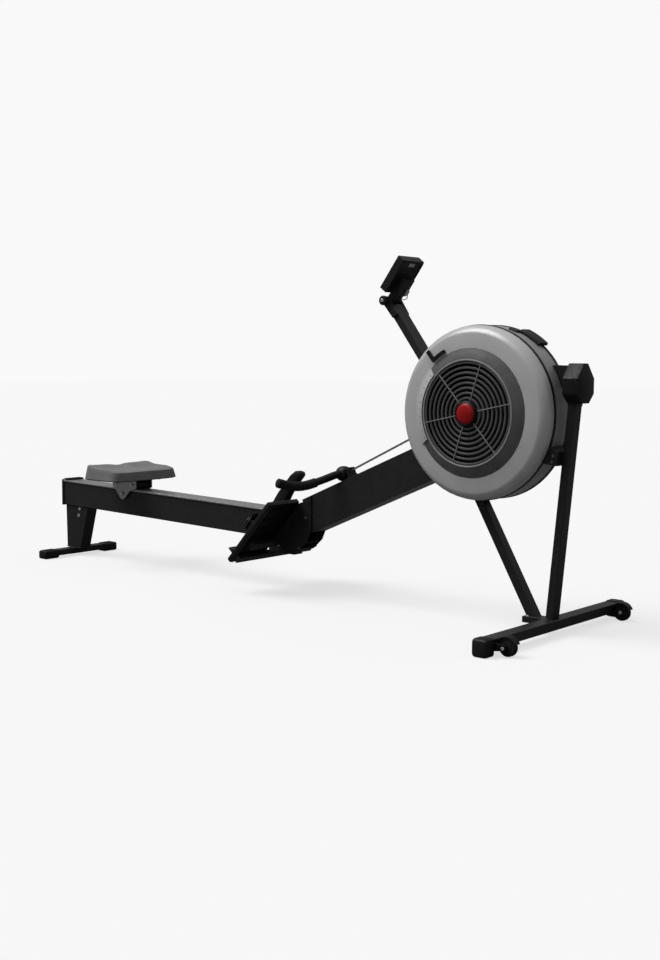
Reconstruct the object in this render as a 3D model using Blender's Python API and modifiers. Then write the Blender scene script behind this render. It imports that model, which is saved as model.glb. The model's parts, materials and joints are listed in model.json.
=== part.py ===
"""Air-resistance rowing machine: one named object for each piece, in metres, +Z up, +X towards the flywheel.

The origin is on the floor under the middle of the machine. Lengths along the machine are stated from the
front foot bar, so at(x, y, z) places a point x metres ahead of that bar.
"""

import math

import bmesh
import bpy
from mathutils import Matrix, Vector

# Driving dimensions, in metres and degrees
FRONT_FOOT_X = 1.0904
FOOT_SPACING = 2.208
FRONT_FOOT_HALF = 0.380
REAR_FOOT_HALF = 0.178
FRONT_CAP_LONG = 0.038
GAP = 0.0003

RAIL_WIDTH = 0.062
RAIL_HEIGHT = 0.092
RAIL_WALL = 0.003
RAIL_FALL = math.radians(1.2)
RAIL_REAR_X = -2.256
RAIL_FRONT_X = -0.938
RAIL_MID_X = -1.73
RAIL_MID_Z = 0.2365
TRACK_HALF = 0.0355
TRACK_THICK = 0.008
TRACK_FRONT_X = -1.125

BEAM_WIDTH = 0.070
BEAM_HEIGHT = 0.116
BEAM_LOW = (-0.930, 0.2676)
BEAM_HIGH = (-0.4365, 0.4760)
BEAM_RISE = math.atan2(BEAM_HIGH[1] - BEAM_LOW[1], BEAM_HIGH[0] - BEAM_LOW[0])

WHEEL_X = -0.243
WHEEL_Z = 0.633
RIM_RADIUS = 0.257
PLATE_INNER = 0.0353
PLATE_OUTER = 0.0409
FLYWHEEL_RADIUS = 0.206
INTAKE_RADIUS = 0.190
GUARD_RADIUS = 0.152
AXLE_RADIUS = 0.006
CHAIN_RADIUS = 0.038

FOOTPLATE_HEEL = (-1.153, 0.118)
FOOTPLATE_RISE = math.radians(47.8)
FOOTPLATE_LENGTH = 0.280
FOOTPLATE_INNER_Y = 0.046
FOOTPLATE_OUTER_Y = 0.190
FOOTPLATE_THICK = 0.018
STRAP_ALONG = 0.150

HANDLE_X = -0.800
HANDLE_Z = 0.4155
CHAIN_START = (-0.7730, 0.4254)
CHAIN_RISE = math.atan2(WHEEL_Z - CHAIN_START[1], WHEEL_X - CHAIN_START[0]) + math.asin(
    CHAIN_RADIUS / math.dist(CHAIN_START, (WHEEL_X, WHEEL_Z)))

UPRIGHT_FOOT = (-0.006, 0.0480)
UPRIGHT_TOP = (0.0546, 0.6628)
LEG_FOOT = (-0.0620, 0.0380)
LEG_TOP = (-0.2670, 0.3920)

ARM_PIVOT = (-0.4460, 0.7635)
ARM_TOP = (-0.6040, 0.9710)
CONSOLE_TILT = math.radians(52.7)

TRANSPORT_WHEEL_X = 0.0495
TRANSPORT_WHEEL_Y = 0.3120
TRANSPORT_WHEEL_RADIUS = 0.0262

SEAT_X = -1.872
SEAT_HALF_LENGTH = 0.101
SEAT_HALF_WIDTH = 0.160
SEAT_BOTTOM_Z = 0.3305
SEAT_TOP_Z = 0.3770
ROLLER_RADIUS = 0.0155
GUIDE_ROLLER_RADIUS = 0.0120


def clear_scene():
    for thing in list(bpy.data.objects):
        bpy.data.objects.remove(thing, do_unlink=True)


def make_collection(name):
    group = bpy.data.collections.new(name)
    bpy.context.scene.collection.children.link(group)
    return group


clear_scene()
PARTS = make_collection("rowing_machine")
CUTTERS = make_collection("cutters")


def make_material(name, colour, roughness, metallic=0.0):
    material = bpy.data.materials.new(name)
    material.use_nodes = True
    shader = material.node_tree.nodes["Principled BSDF"]
    shader.inputs["Base Color"].default_value = (*colour, 1.0)
    shader.inputs["Roughness"].default_value = roughness
    shader.inputs["Metallic"].default_value = metallic
    return material


FRAME_PAINT = make_material("frame_paint", (0.016, 0.016, 0.017), 0.45)
BLACK_PLASTIC = make_material("black_plastic", (0.010, 0.010, 0.010), 0.55)
SILVER_SHELL = make_material("silver_shell", (0.36, 0.36, 0.37), 0.38, 0.25)
DARK_SHELL = make_material("dark_shell", (0.08, 0.08, 0.085), 0.50)
TRACK_STEEL = make_material("track_steel", (0.42, 0.42, 0.43), 0.30, 0.9)
PLAIN_STEEL = make_material("plain_steel", (0.50, 0.50, 0.52), 0.35, 0.9)
SEAT_FOAM = make_material("seat_foam", (0.14, 0.14, 0.145), 0.75)
RUBBER = make_material("rubber", (0.012, 0.012, 0.012), 0.85)
RED_PLASTIC = make_material("red_plastic", (0.33, 0.006, 0.008), 0.40)
WEBBING = make_material("webbing", (0.014, 0.014, 0.014), 0.90)


def at(x, y, z):
    """A point x ahead of the front foot bar, y to the left, z above the floor."""
    return Vector((FRONT_FOOT_X + x, y, z))


def rail_z(x):
    """Height of the rail's centreline at x."""
    return RAIL_MID_Z + (RAIL_MID_X - x) * math.tan(RAIL_FALL)


def on_plate(along, out):
    """(x, z) of a point on the footplate's side view: along it from the heel, and out towards the rower."""
    cos, sin = math.cos(FOOTPLATE_RISE), math.sin(FOOTPLATE_RISE)
    return (FOOTPLATE_HEEL[0] + along * cos - out * sin, FOOTPLATE_HEEL[1] + along * sin + out * cos)


def link(name, mesh, material, matrix=None, group=None):
    part = bpy.data.objects.new(name, mesh)
    (group or PARTS).objects.link(part)
    if matrix is not None:
        part.matrix_world = matrix
    if material is not None:
        mesh.materials.append(material)
    return part


def add_bevel(part, width, segments=2):
    bevel = part.modifiers.new("edge_rounding", "BEVEL")
    bevel.width = width
    bevel.segments = segments
    bevel.limit_method = "ANGLE"
    bevel.angle_limit = math.radians(40)
    return part


def box(name, size, centre, material, rise=0.0, bevel=0.0, group=None):
    """A block of that size whose +X end is raised by rise."""
    bm = bmesh.new()
    bmesh.ops.create_cube(bm, size=1.0)
    bmesh.ops.scale(bm, vec=Vector(size), verts=bm.verts)
    mesh = bpy.data.meshes.new(name)
    bm.to_mesh(mesh)
    bm.free()
    part = link(name, mesh, material, Matrix.Translation(centre) @ Matrix.Rotation(-rise, 4, "Y"), group)
    return add_bevel(part, bevel) if bevel else part


def side_view(centre_y):
    """Takes an outline's x and y to the machine's X and Z, and its thickness to Y."""
    return Matrix.Translation(Vector((FRONT_FOOT_X, centre_y, 0))) @ Matrix.Rotation(math.radians(90), 4, "X")


def outline(name, loops, thickness, matrix, material, group=None):
    """A flat shape from closed loops of (x, y) points, the first outside and the rest holes, as a mesh."""
    curve = bpy.data.curves.new(name + "_outline", "CURVE")
    curve.dimensions = "2D"
    curve.fill_mode = "BOTH"
    curve.extrude = thickness / 2
    curve.render_resolution_u = 0
    for loop in loops:
        spline = curve.splines.new("POLY")
        spline.points.add(len(loop) - 1)
        for point, (x, y) in zip(spline.points, loop):
            point.co = (x, y, 0, 1)
        spline.use_cyclic_u = True
    drawn = bpy.data.objects.new(name + "_outline", curve)
    CUTTERS.objects.link(drawn)
    return curve_to_mesh(name, drawn, matrix, material, group)


def curve_to_mesh(name, drawn, matrix, material, group=None):
    bpy.context.view_layer.update()
    mesh = bpy.data.meshes.new_from_object(drawn.evaluated_get(bpy.context.evaluated_depsgraph_get()))
    mesh.name = name
    bpy.data.objects.remove(drawn)
    bm = bmesh.new()
    bm.from_mesh(mesh)
    bmesh.ops.remove_doubles(bm, verts=bm.verts, dist=1e-5)
    bmesh.ops.recalc_face_normals(bm, faces=bm.faces)
    bm.to_mesh(mesh)
    bm.free()
    mesh.materials.clear()
    return link(name, mesh, material, matrix, group)


def arc(radius, start, end, count, centre=(WHEEL_X, WHEEL_Z)):
    """count points along an arc, in degrees anticlockwise from the front."""
    angles = [math.radians(start + (end - start) * i / (count - 1)) for i in range(count)]
    return [(centre[0] + radius * math.cos(a), centre[1] + radius * math.sin(a)) for a in angles]


def circle(radius, count, centre=(WHEEL_X, WHEEL_Z)):
    return arc(radius, 0, 360, count + 1, centre)[:count]


def sector(inner, outer, start, end, count):
    """A closed piece of a ring."""
    return arc(outer, start, end, count) + arc(inner, end, start, count)


def rect_tube(name, width, height, wall, start, end, material, across="Y"):
    """A hollow rectangular tube from start to end; width lies along the axis named by across."""
    length = (end - start).length
    way = (end - start).normalized()
    side = Vector((0, 1, 0)) if across == "Y" else Vector((1, 0, 0))
    up = way.cross(side)
    matrix = Matrix((side, up, way)).transposed().to_4x4()
    matrix.translation = (start + end) / 2

    def rectangle(w, h):
        return [(-w, -h), (w, -h), (w, h), (-w, h)]

    loops = [rectangle(width / 2, height / 2), rectangle(width / 2 - wall, height / 2 - wall)]
    return outline(name, loops, length, matrix, material)


def turned(name, profile, centre, axis, material, steps=24, closed=False, group=None):
    """A turned shape: profile is (radius, height along axis) from the top down its outer side."""
    mesh = bpy.data.meshes.new(name)
    edges = [(i, i + 1) for i in range(len(profile) - 1)]
    if closed:
        edges.append((len(profile) - 1, 0))
    mesh.from_pydata([(r, 0, h) for r, h in profile], edges, [])
    turn = Vector((0, 0, 1)).rotation_difference(Vector(axis)).to_matrix().to_4x4()
    part = link(name, mesh, material, Matrix.Translation(centre) @ turn, group)
    screw = part.modifiers.new("turn", "SCREW")
    screw.steps = steps
    screw.render_steps = steps
    screw.use_merge_vertices = True
    screw.merge_threshold = 1e-5
    screw.use_smooth_shade = True
    return part


def disc(name, radius, bore, half_width, edge, centre, axis, material, steps=24, group=None):
    """A wheel or ring: a bored disc with chamfered outer edges."""
    profile = [
        (bore, half_width),
        (radius - edge, half_width),
        (radius, half_width - edge),
        (radius, edge - half_width),
        (radius - edge, -half_width),
        (bore, -half_width),
    ]
    return turned(name, profile, centre, axis, material, steps, closed=True, group=group)


def wire(name, points, radius, material, resolution=2, group=None):
    """A round rod or cord through the points, with closed ends, as a mesh."""
    curve = bpy.data.curves.new(name + "_line", "CURVE")
    curve.dimensions = "3D"
    curve.bevel_depth = radius
    curve.bevel_resolution = resolution
    curve.use_fill_caps = True
    curve.render_resolution_u = 0
    spline = curve.splines.new("POLY")
    spline.points.add(len(points) - 1)
    for point, place in zip(spline.points, points):
        point.co = (*place, 1)
    drawn = bpy.data.objects.new(name + "_line", curve)
    CUTTERS.objects.link(drawn)
    return curve_to_mesh(name, drawn, None, material, group)


def hide_cutter(cutter):
    cutter.hide_render = True
    cutter.display_type = "WIRE"
    return cutter


def combine(part, other, operation):
    """Cuts other out of part, or joins it on."""
    step = part.modifiers.new(other.name, "BOOLEAN")
    step.operation = operation
    step.solver = "EXACT"
    step.object = hide_cutter(other)
    return part


def cylinder(name, radius, length, centre, axis, steps=20):
    """A plain round cutter or boss."""
    profile = [(0, length / 2), (radius, length / 2), (radius, -length / 2), (0, -length / 2)]
    return turned(name, profile, centre, axis, None, steps, group=CUTTERS)


def drill(part, radius, length, centre, axis):
    return combine(part, cylinder(part.name + "_hole", radius, length, centre, axis), "DIFFERENCE")


def pivot(name, place, *parts):
    """An empty on a joint's axis, with the pieces that move with it parented to it."""
    empty = bpy.data.objects.new(name, None)
    empty.location = place
    PARTS.objects.link(empty)
    bpy.context.view_layer.update()
    for part in parts:
        world = part.matrix_world.copy()
        part.parent = empty
        part.matrix_parent_inverse = empty.matrix_world.inverted()
        part.matrix_world = world
    return empty


# ---------------------------------------------------------------- rear end and rail
def rear_end():
    """The tapered rear leg with its foot bar, end feet, and the cap and stop on the rail's end."""
    leg_rear, leg_front, leg_width = -2.254, -2.115, 0.048
    foot_rear, foot_front = -2.249, -2.164
    bar_top, bar_bottom, bar_wide = 0.0310, 0.0090, 0.042
    under_rail = RAIL_HEIGHT / 2 / math.cos(RAIL_FALL) + 4 * GAP
    bm = bmesh.new()
    bmesh.ops.create_cube(bm, size=1.0)
    for vert in bm.verts:
        high = vert.co.z > 0
        xs = (leg_rear, leg_front) if high else (foot_rear, foot_front)
        x = xs[1] if vert.co.x > 0 else xs[0]
        vert.co.z = rail_z(x) - under_rail if high else bar_top + GAP
        vert.co.x = FRONT_FOOT_X + x
        vert.co.y *= leg_width
    bmesh.ops.delete(bm, geom=[f for f in bm.faces if abs(f.normal.z) > 0.9], context="FACES_ONLY")
    mesh = bpy.data.meshes.new("rear_leg")
    bm.to_mesh(mesh)
    bm.free()
    leg = link("rear_leg", mesh, FRAME_PAINT)
    wall = leg.modifiers.new("wall", "SOLIDIFY")
    wall.thickness = 0.003
    wall.offset = -1
    wall.use_even_offset = True

    bar_mid = (bar_top + bar_bottom) / 2
    cap_long, cap_wide, cap_tall = 0.068, 0.048, 0.033
    bar_end = REAR_FOOT_HALF - cap_long
    rect_tube("rear_foot_bar", bar_wide, bar_top - bar_bottom, 0.002, at(-FOOT_SPACING, -bar_end, bar_mid),
              at(-FOOT_SPACING, bar_end, bar_mid), FRAME_PAINT, across="X")
    for side, name in ((-1, "rear_foot_cap_near"), (1, "rear_foot_cap_far")):
        centre_y = side * (REAR_FOOT_HALF + bar_end + GAP) / 2
        box(name, (cap_wide, cap_long - GAP, cap_tall), at(-FOOT_SPACING, centre_y, cap_tall / 2), BLACK_PLASTIC,
            bevel=0.007)
    cap_x = RAIL_REAR_X - 0.0074
    box("rear_end_cap", (0.0118, 0.068, 0.104), at(cap_x, 0, rail_z(cap_x) + 0.003), BLACK_PLASTIC, bevel=0.003)
    stop_x, stop_tall = -2.232, 0.006
    stop_z = rail_z(stop_x) + RAIL_HEIGHT / 2 + TRACK_THICK + stop_tall / 2 + 3 * GAP
    box("rear_stop", (0.030, 0.075, stop_tall), at(stop_x, 0, stop_z), RUBBER, rise=-RAIL_FALL, bevel=0.002)


def rail():
    """The long hollow rail, and the steel track that the seat rolls on."""
    rect_tube("seat_rail", RAIL_WIDTH, RAIL_HEIGHT, RAIL_WALL, at(RAIL_REAR_X, 0, rail_z(RAIL_REAR_X)),
              at(RAIL_FRONT_X, 0, rail_z(RAIL_FRONT_X)), FRAME_PAINT)
    track_x = (RAIL_REAR_X + TRACK_FRONT_X) / 2
    length = (TRACK_FRONT_X - RAIL_REAR_X) / math.cos(RAIL_FALL)
    height = (RAIL_HEIGHT + TRACK_THICK) / 2 + GAP
    box("seat_track", (length, 2 * TRACK_HALF, TRACK_THICK), at(track_x, 0, rail_z(track_x) + height), TRACK_STEEL,
        rise=-RAIL_FALL, bevel=0.0015)


# ---------------------------------------------------------------- seat
def seat():
    """The seat pad on its carriage, with two running rollers and two guide rollers under the track's lips."""
    pad_z = (SEAT_BOTTOM_Z + SEAT_TOP_Z) / 2
    pad = box("seat_pad", (2 * SEAT_HALF_LENGTH, 2 * SEAT_HALF_WIDTH, SEAT_TOP_Z - SEAT_BOTTOM_Z), at(SEAT_X, 0, pad_z),
              SEAT_FOAM, bevel=0.014)

    plate_top = SEAT_BOTTOM_Z - GAP
    plate_bottom = plate_top - 0.003
    carriage = box("seat_carriage", (0.150, 0.0830, plate_top - plate_bottom),
                   at(-1.870, 0, (plate_top + plate_bottom) / 2), PLAIN_STEEL)
    cheek = [(-1.937, plate_bottom + 0.001), (-1.937, 0.303), (-1.918, 0.284), (-1.892, 0.255), (-1.880, 0.2505),
             (-1.868, 0.255), (-1.838, 0.284), (-1.802, 0.296), (-1.802, plate_bottom + 0.001)]
    for side in (-1, 1):
        wing = outline("cheek", [cheek], 0.004, side_view(side * 0.0393), None, CUTTERS)
        combine(carriage, wing, "UNION")

    rollers = []
    for name, x in (("seat_roller_rear", -1.915), ("seat_roller_front", -1.824)):
        z = rail_z(x) + RAIL_HEIGHT / 2 + TRACK_THICK + 2 * GAP + ROLLER_RADIUS
        drill(carriage, 0.0043, 0.10, at(x, 0, z), (0, 1, 0))
        profile = [(0, 0.0445), (0.0040, 0.0445), (0.0040, 0.0345), (0.0060, 0.0345), (0.0060, 0.0300),
                   (ROLLER_RADIUS - 0.002, 0.0300), (ROLLER_RADIUS, 0.0280), (ROLLER_RADIUS, -0.0280),
                   (ROLLER_RADIUS - 0.002, -0.0300), (0.0060, -0.0300), (0.0060, -0.0345), (0.0040, -0.0345),
                   (0.0040, -0.0445), (0, -0.0445)]
        roller = turned(name, profile, at(x, 0, z), (0, 1, 0), BLACK_PLASTIC, steps=20)
        rollers.append(pivot(name + "_axis", at(x, 0, z), roller))
    guide_x = -1.880
    guide_z = rail_z(guide_x) + RAIL_HEIGHT / 2 - GUIDE_ROLLER_RADIUS - GAP
    drill(carriage, 0.0033, 0.10, at(guide_x, 0, guide_z), (0, 1, 0))
    for side, name in ((-1, "guide_roller_near"), (1, "guide_roller_far")):
        profile = [(0, 0.0090), (0.0055, 0.0090), (0.0065, 0.0070), (0.0065, 0.0054), (0.0030, 0.0054),
                   (0.0030, 0.0006), (GUIDE_ROLLER_RADIUS - 0.001, 0.0006), (GUIDE_ROLLER_RADIUS, -0.0004),
                   (GUIDE_ROLLER_RADIUS, -0.0030), (GUIDE_ROLLER_RADIUS - 0.001, -0.0040), (0, -0.0040)]
        roller = turned(name, profile, at(guide_x, side * 0.0359, guide_z), (0, side, 0), PLAIN_STEEL, steps=16)
        rollers.append(pivot(name + "_axis", at(guide_x, side * 0.0359, guide_z), roller))
    pivot("seat_slide", at(SEAT_X, 0, rail_z(SEAT_X)), pad, carriage, *rollers)


# ---------------------------------------------------------------- beam, joint and footrests
def beam_and_joint():
    """The rising main beam and the welded bracket that joins it to the rail and carries the footrests."""
    rect_tube("main_beam", BEAM_WIDTH, BEAM_HEIGHT, 0.003, at(BEAM_LOW[0], 0, BEAM_LOW[1]),
              at(BEAM_HIGH[0], 0, BEAM_HIGH[1]), FRAME_PAINT)
    cheek = [(-0.908, 0.2250), (-0.928, 0.1820), (-0.968, 0.1470), (-1.040, 0.1470), (-1.072, 0.1680),
             (-1.072, 0.2080), (-1.012, 0.2700), (-0.985, 0.3010), (-0.930, 0.3190), (-0.908, 0.3380)]
    joint = outline("frame_joint", [cheek], 0.0050, side_view(-0.0380), FRAME_PAINT)
    combine(joint, outline("joint_cheek", [cheek], 0.0050, side_view(0.0380), None, CUTTERS), "UNION")
    combine(joint, box("joint_floor", (0.072, 0.074, 0.005), at(-1.004, 0, 0.1515), None, group=CUTTERS), "UNION")
    combine(joint, box("joint_keel", (0.122, 0.040, 0.0225), at(-1.061, 0, 0.1394), None, group=CUTTERS), "UNION")
    x, z = on_plate(0.030, -FOOTPLATE_THICK - GAP - 0.009)
    heel_bar = box("heel_bar", (0.024, 0.370, 0.018), at(x, 0, z), None, rise=FOOTPLATE_RISE, group=CUTTERS)
    combine(joint, heel_bar, "UNION")
    for side in (-1, 1):
        x, z = on_plate(0.100, -FOOTPLATE_THICK - GAP - 0.012)
        stub = box("joint_stub", (0.030, 0.130, 0.024), at(x, side * 0.104, z), None, rise=FOOTPLATE_RISE,
                   group=CUTTERS)
        combine(joint, stub, "UNION")


def footrests():
    """Two inclined footplates, each with a heel cup that slides along it and a strap over the foot."""
    mid_y = (FOOTPLATE_INNER_Y + FOOTPLATE_OUTER_Y) / 2
    width = FOOTPLATE_OUTER_Y - FOOTPLATE_INNER_Y
    for side, suffix in ((-1, "near"), (1, "far")):
        x, z = on_plate(FOOTPLATE_LENGTH / 2, -FOOTPLATE_THICK / 2)
        box("footplate_" + suffix, (FOOTPLATE_LENGTH, width, FOOTPLATE_THICK), at(x, side * mid_y, z), BLACK_PLASTIC,
            rise=FOOTPLATE_RISE, bevel=0.004)
        profile = [on_plate(a, o) for a, o in ((0.006, GAP), (0.130, GAP), (0.130, 0.0035), (0.050, 0.0050),
                                               (0.026, 0.0130), (0.014, 0.0360), (0.006, 0.0400))]
        heel = outline("heel_cup_" + suffix, [profile], 0.084, side_view(side * mid_y), BLACK_PLASTIC)
        add_bevel(heel, 0.0012, 1)
        pivot("heel_slide_" + suffix, at(*plate_point(0.070, side * mid_y)), heel)
        strap(side, mid_y, "foot_strap_" + suffix)


def plate_point(along, y):
    x, z = on_plate(along, 0)
    return x, y, z


def strap(side, mid_y, name):
    """A strap arched over the foot, square to the footplate."""
    half, height, thick, wide = 0.062, 0.048, 0.003, 0.034
    turns = 14

    def arch(a, b, start, end):
        angles = [math.radians(start + (end - start) * i / turns) for i in range(turns + 1)]
        return [(a * math.cos(t), GAP + b * math.sin(t)) for t in angles]

    loop = arch(half, height, 0, 180) + arch(half - thick, height - thick, 180, 0)
    along = Vector((math.cos(FOOTPLATE_RISE), 0, math.sin(FOOTPLATE_RISE)))
    out = Vector((-math.sin(FOOTPLATE_RISE), 0, math.cos(FOOTPLATE_RISE)))
    matrix = Matrix((Vector((0, 1, 0)), out, -along)).transposed().to_4x4()
    matrix.translation = at(*plate_point(STRAP_ALONG, side * mid_y))
    return outline(name, [loop], wide, matrix, WEBBING)


# ---------------------------------------------------------------- handle, hook and chain
def handle_group():
    """The handle with its grips, the hook it can be parked on, and the guide that the chain leaves by."""
    hook_profile = [(-1.110, 0.2700), (-1.046, 0.2690), (-1.052, 0.3050), (-1.030, 0.3400), (-0.996, 0.3800),
                    (-0.980, 0.3980), (-0.984, 0.4090), (-1.004, 0.4130), (-1.026, 0.3980), (-1.084, 0.3350),
                    (-1.110, 0.3000)]
    hook = outline("handle_hook", [hook_profile], 0.030, side_view(0), BLACK_PLASTIC)
    add_bevel(hook, 0.004, 2)

    ends = 0.1140
    bar = wire("handle_bar", handle_line(-ends, ends, 18), 0.0098, BLACK_PLASTIC, 3)
    boss_profile = [(0, 0.0215), (0.0140, 0.0205), (0.0205, 0.0140), (0.0225, 0.0040), (0.0225, -0.0080),
                    (0.0190, -0.0180), (0.0110, -0.0215), (0, -0.0225)]
    boss = turned("boss", boss_profile, at(HANDLE_X, 0, HANDLE_Z), (1, 0, 0.1), None, 20, group=CUTTERS)
    combine(bar, boss, "UNION")
    grips = []
    for side, suffix in ((-1, "near"), (1, "far")):
        grip = wire("handle_grip_" + suffix, handle_line(side * 0.100, side * 0.232, 14), 0.0145, RUBBER, 3)
        bore = wire("grip_bore", handle_line(side * 0.094, side * 0.116, 4), 0.0114, None, 3, CUTTERS)
        combine(grip, bore, "DIFFERENCE")
        grips.append(grip)
    pivot("handle_pull", at(HANDLE_X, 0, HANDLE_Z), bar, *grips)

    base_x = -0.7600
    height = 0.037
    top = BEAM_LOW[1] + (base_x - BEAM_LOW[0]) * math.tan(BEAM_RISE) + BEAM_HEIGHT / 2 / math.cos(BEAM_RISE)
    lift = height / 2 + GAP
    guide_x = base_x - lift * math.sin(BEAM_RISE)
    guide = box("chain_guide", (0.014, 0.034, height), at(guide_x, 0, top + lift * math.cos(BEAM_RISE)), BLACK_PLASTIC,
                rise=BEAM_RISE)
    slot_z = CHAIN_START[1] + (guide_x - CHAIN_START[0]) * math.tan(CHAIN_RISE)
    slot = box("chain_slot", (0.080, 0.011, 0.010), at(guide_x, 0, slot_z), None, rise=CHAIN_RISE, group=CUTTERS)
    combine(guide, slot, "DIFFERENCE")


def handle_line(start, end, spans):
    """Points along the handle's centreline from one y to another, swept back and dipped towards its ends."""
    line = []
    for i in range(spans + 1):
        y = start + (end - start) * i / spans
        spread = abs(y)
        sweep = 3.0 * min(spread, 0.10) ** 2 + 0.38 * max(spread - 0.10, 0)
        dip = 0.018 * (1 - math.cos(math.pi * spread / 0.16))
        line.append(at(HANDLE_X - sweep, y, HANDLE_Z - dip + 0.002))
    return line


def drive():
    """The chain from its guide over the sprocket and down into the beam, and the cord that draws it back."""
    rise = math.degrees(CHAIN_RISE)
    leave = -60.0
    start = Vector(CHAIN_START)
    tangent = Vector(arc(CHAIN_RADIUS, 90 + rise, 90 + rise + 1, 2)[0])
    rising = [start + (tangent - start) * i / 10 for i in range(10)]
    wrap = [Vector(p) for p in arc(CHAIN_RADIUS, 90 + rise, leave, 12)]
    fall = Vector((-math.cos(math.radians(30)), -math.sin(math.radians(30))))
    falling = [wrap[-1] + fall * 0.385 * i / 8 for i in range(1, 9)]
    route = [at(p.x, 0, p.y) for p in rising + wrap + falling]
    wire("drive_chain", route, 0.0032, PLAIN_STEEL, 1)
    cord_start = falling[-1] + fall * 0.0006
    cord_end = Vector((-0.842, 0.296))
    cord = [at(p.x, 0, p.y) for p in (cord_start, cord_start.lerp(cord_end, 0.5), cord_end)]
    wire("return_cord", cord, 0.0040, RUBBER, 1)

    teeth = 12
    loop = []
    for i in range(teeth):
        for share, tip in ((0.0, 0.0300), (0.25, 0.0300), (0.40, 0.0344), (0.60, 0.0344), (0.75, 0.0300)):
            angle = math.tau * (i + share) / teeth
            loop.append((WHEEL_X + tip * math.cos(angle), WHEEL_Z + tip * math.sin(angle)))
    sprocket = outline("sprocket", [loop, circle(AXLE_RADIUS + GAP, 16)], 0.0030, side_view(0), PLAIN_STEEL)
    pivot("sprocket_spin", at(WHEEL_X, 0, WHEEL_Z), sprocket)


# ---------------------------------------------------------------- flywheel and housing
def hub_point(y):
    return at(WHEEL_X, y, WHEEL_Z)


def flywheel():
    """The bladed flywheel on its axle, turning in two bearings in the frame plates."""
    blades = 18
    loop = []
    for i in range(blades):
        for share, radius in ((0.0, 0.150), (0.42, 0.150), (0.50, FLYWHEEL_RADIUS), (0.92, FLYWHEEL_RADIUS)):
            angle = math.tau * (i + share) / blades
            loop.append((WHEEL_X + radius * math.cos(angle), WHEEL_Z + radius * math.sin(angle)))
    fan = outline("flywheel", [loop, circle(AXLE_RADIUS + GAP, 16)], 0.0220, side_view(-0.0195), PLAIN_STEEL)
    profile = [(0, 0.056), (AXLE_RADIUS - 0.001, 0.056), (AXLE_RADIUS, 0.055), (AXLE_RADIUS, -0.055),
               (AXLE_RADIUS - 0.001, -0.056), (0, -0.056)]
    axle = turned("axle", profile, hub_point(0), (0, 1, 0), PLAIN_STEEL, steps=16)
    pivot("flywheel_spin", hub_point(0), fan, axle)
    for side, name in ((-1, "bearing_near"), (1, "bearing_far")):
        middle = (PLATE_INNER + PLATE_OUTER) / 2
        disc(name, 0.0160, AXLE_RADIUS + GAP, 0.0045, 0.0008, hub_point(side * middle), (0, 1, 0), PLAIN_STEEL, 20)


def frame_plates():
    """Two steel plates, bolted to the beam, that hold the axle and carry the housing."""
    windows = [sector(0.052, 0.219, start + 9, start + 81, 9) for start in (12, 102, 192, 282)]
    loops = [circle(RIM_RADIUS - 0.0005, 60), circle(0.0163, 20)] + windows
    middle = (PLATE_INNER + PLATE_OUTER) / 2
    for side, name in ((-1, "frame_plate_near"), (1, "frame_plate_far")):
        outline(name, loops, PLATE_OUTER - PLATE_INNER, side_view(side * middle), FRAME_PAINT)
    width = 2 * (PLATE_INNER - GAP)
    outline("rim_band", [sector(RIM_RADIUS - 0.0025, RIM_RADIUS, -86, 132, 34)], width, side_view(0), SILVER_SHELL)
    outline("rim_band_rear", [sector(RIM_RADIUS - 0.0025, RIM_RADIUS, 158, 191, 8)], width, side_view(0), SILVER_SHELL)


def shell_profile(rim, wall):
    """Half of the housing's side: a rim, a rounded shoulder and a flat face, with a round opening."""
    outer = [(INTAKE_RADIUS, 0.0882), (rim - 0.0250, 0.0856), (rim - 0.0185, 0.0838), (rim - 0.0095, 0.0765),
             (rim - 0.0030, 0.0670), (rim, 0.0560), (rim, PLATE_OUTER + GAP)]
    inner = [(rim - wall, PLATE_OUTER + GAP), (rim - wall, 0.0555), (rim - wall - 0.0035, 0.0650),
             (rim - wall - 0.0095, 0.0735), (rim - wall - 0.0190, 0.0810), (INTAKE_RADIUS, 0.0852)]
    return outer + inner


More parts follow.
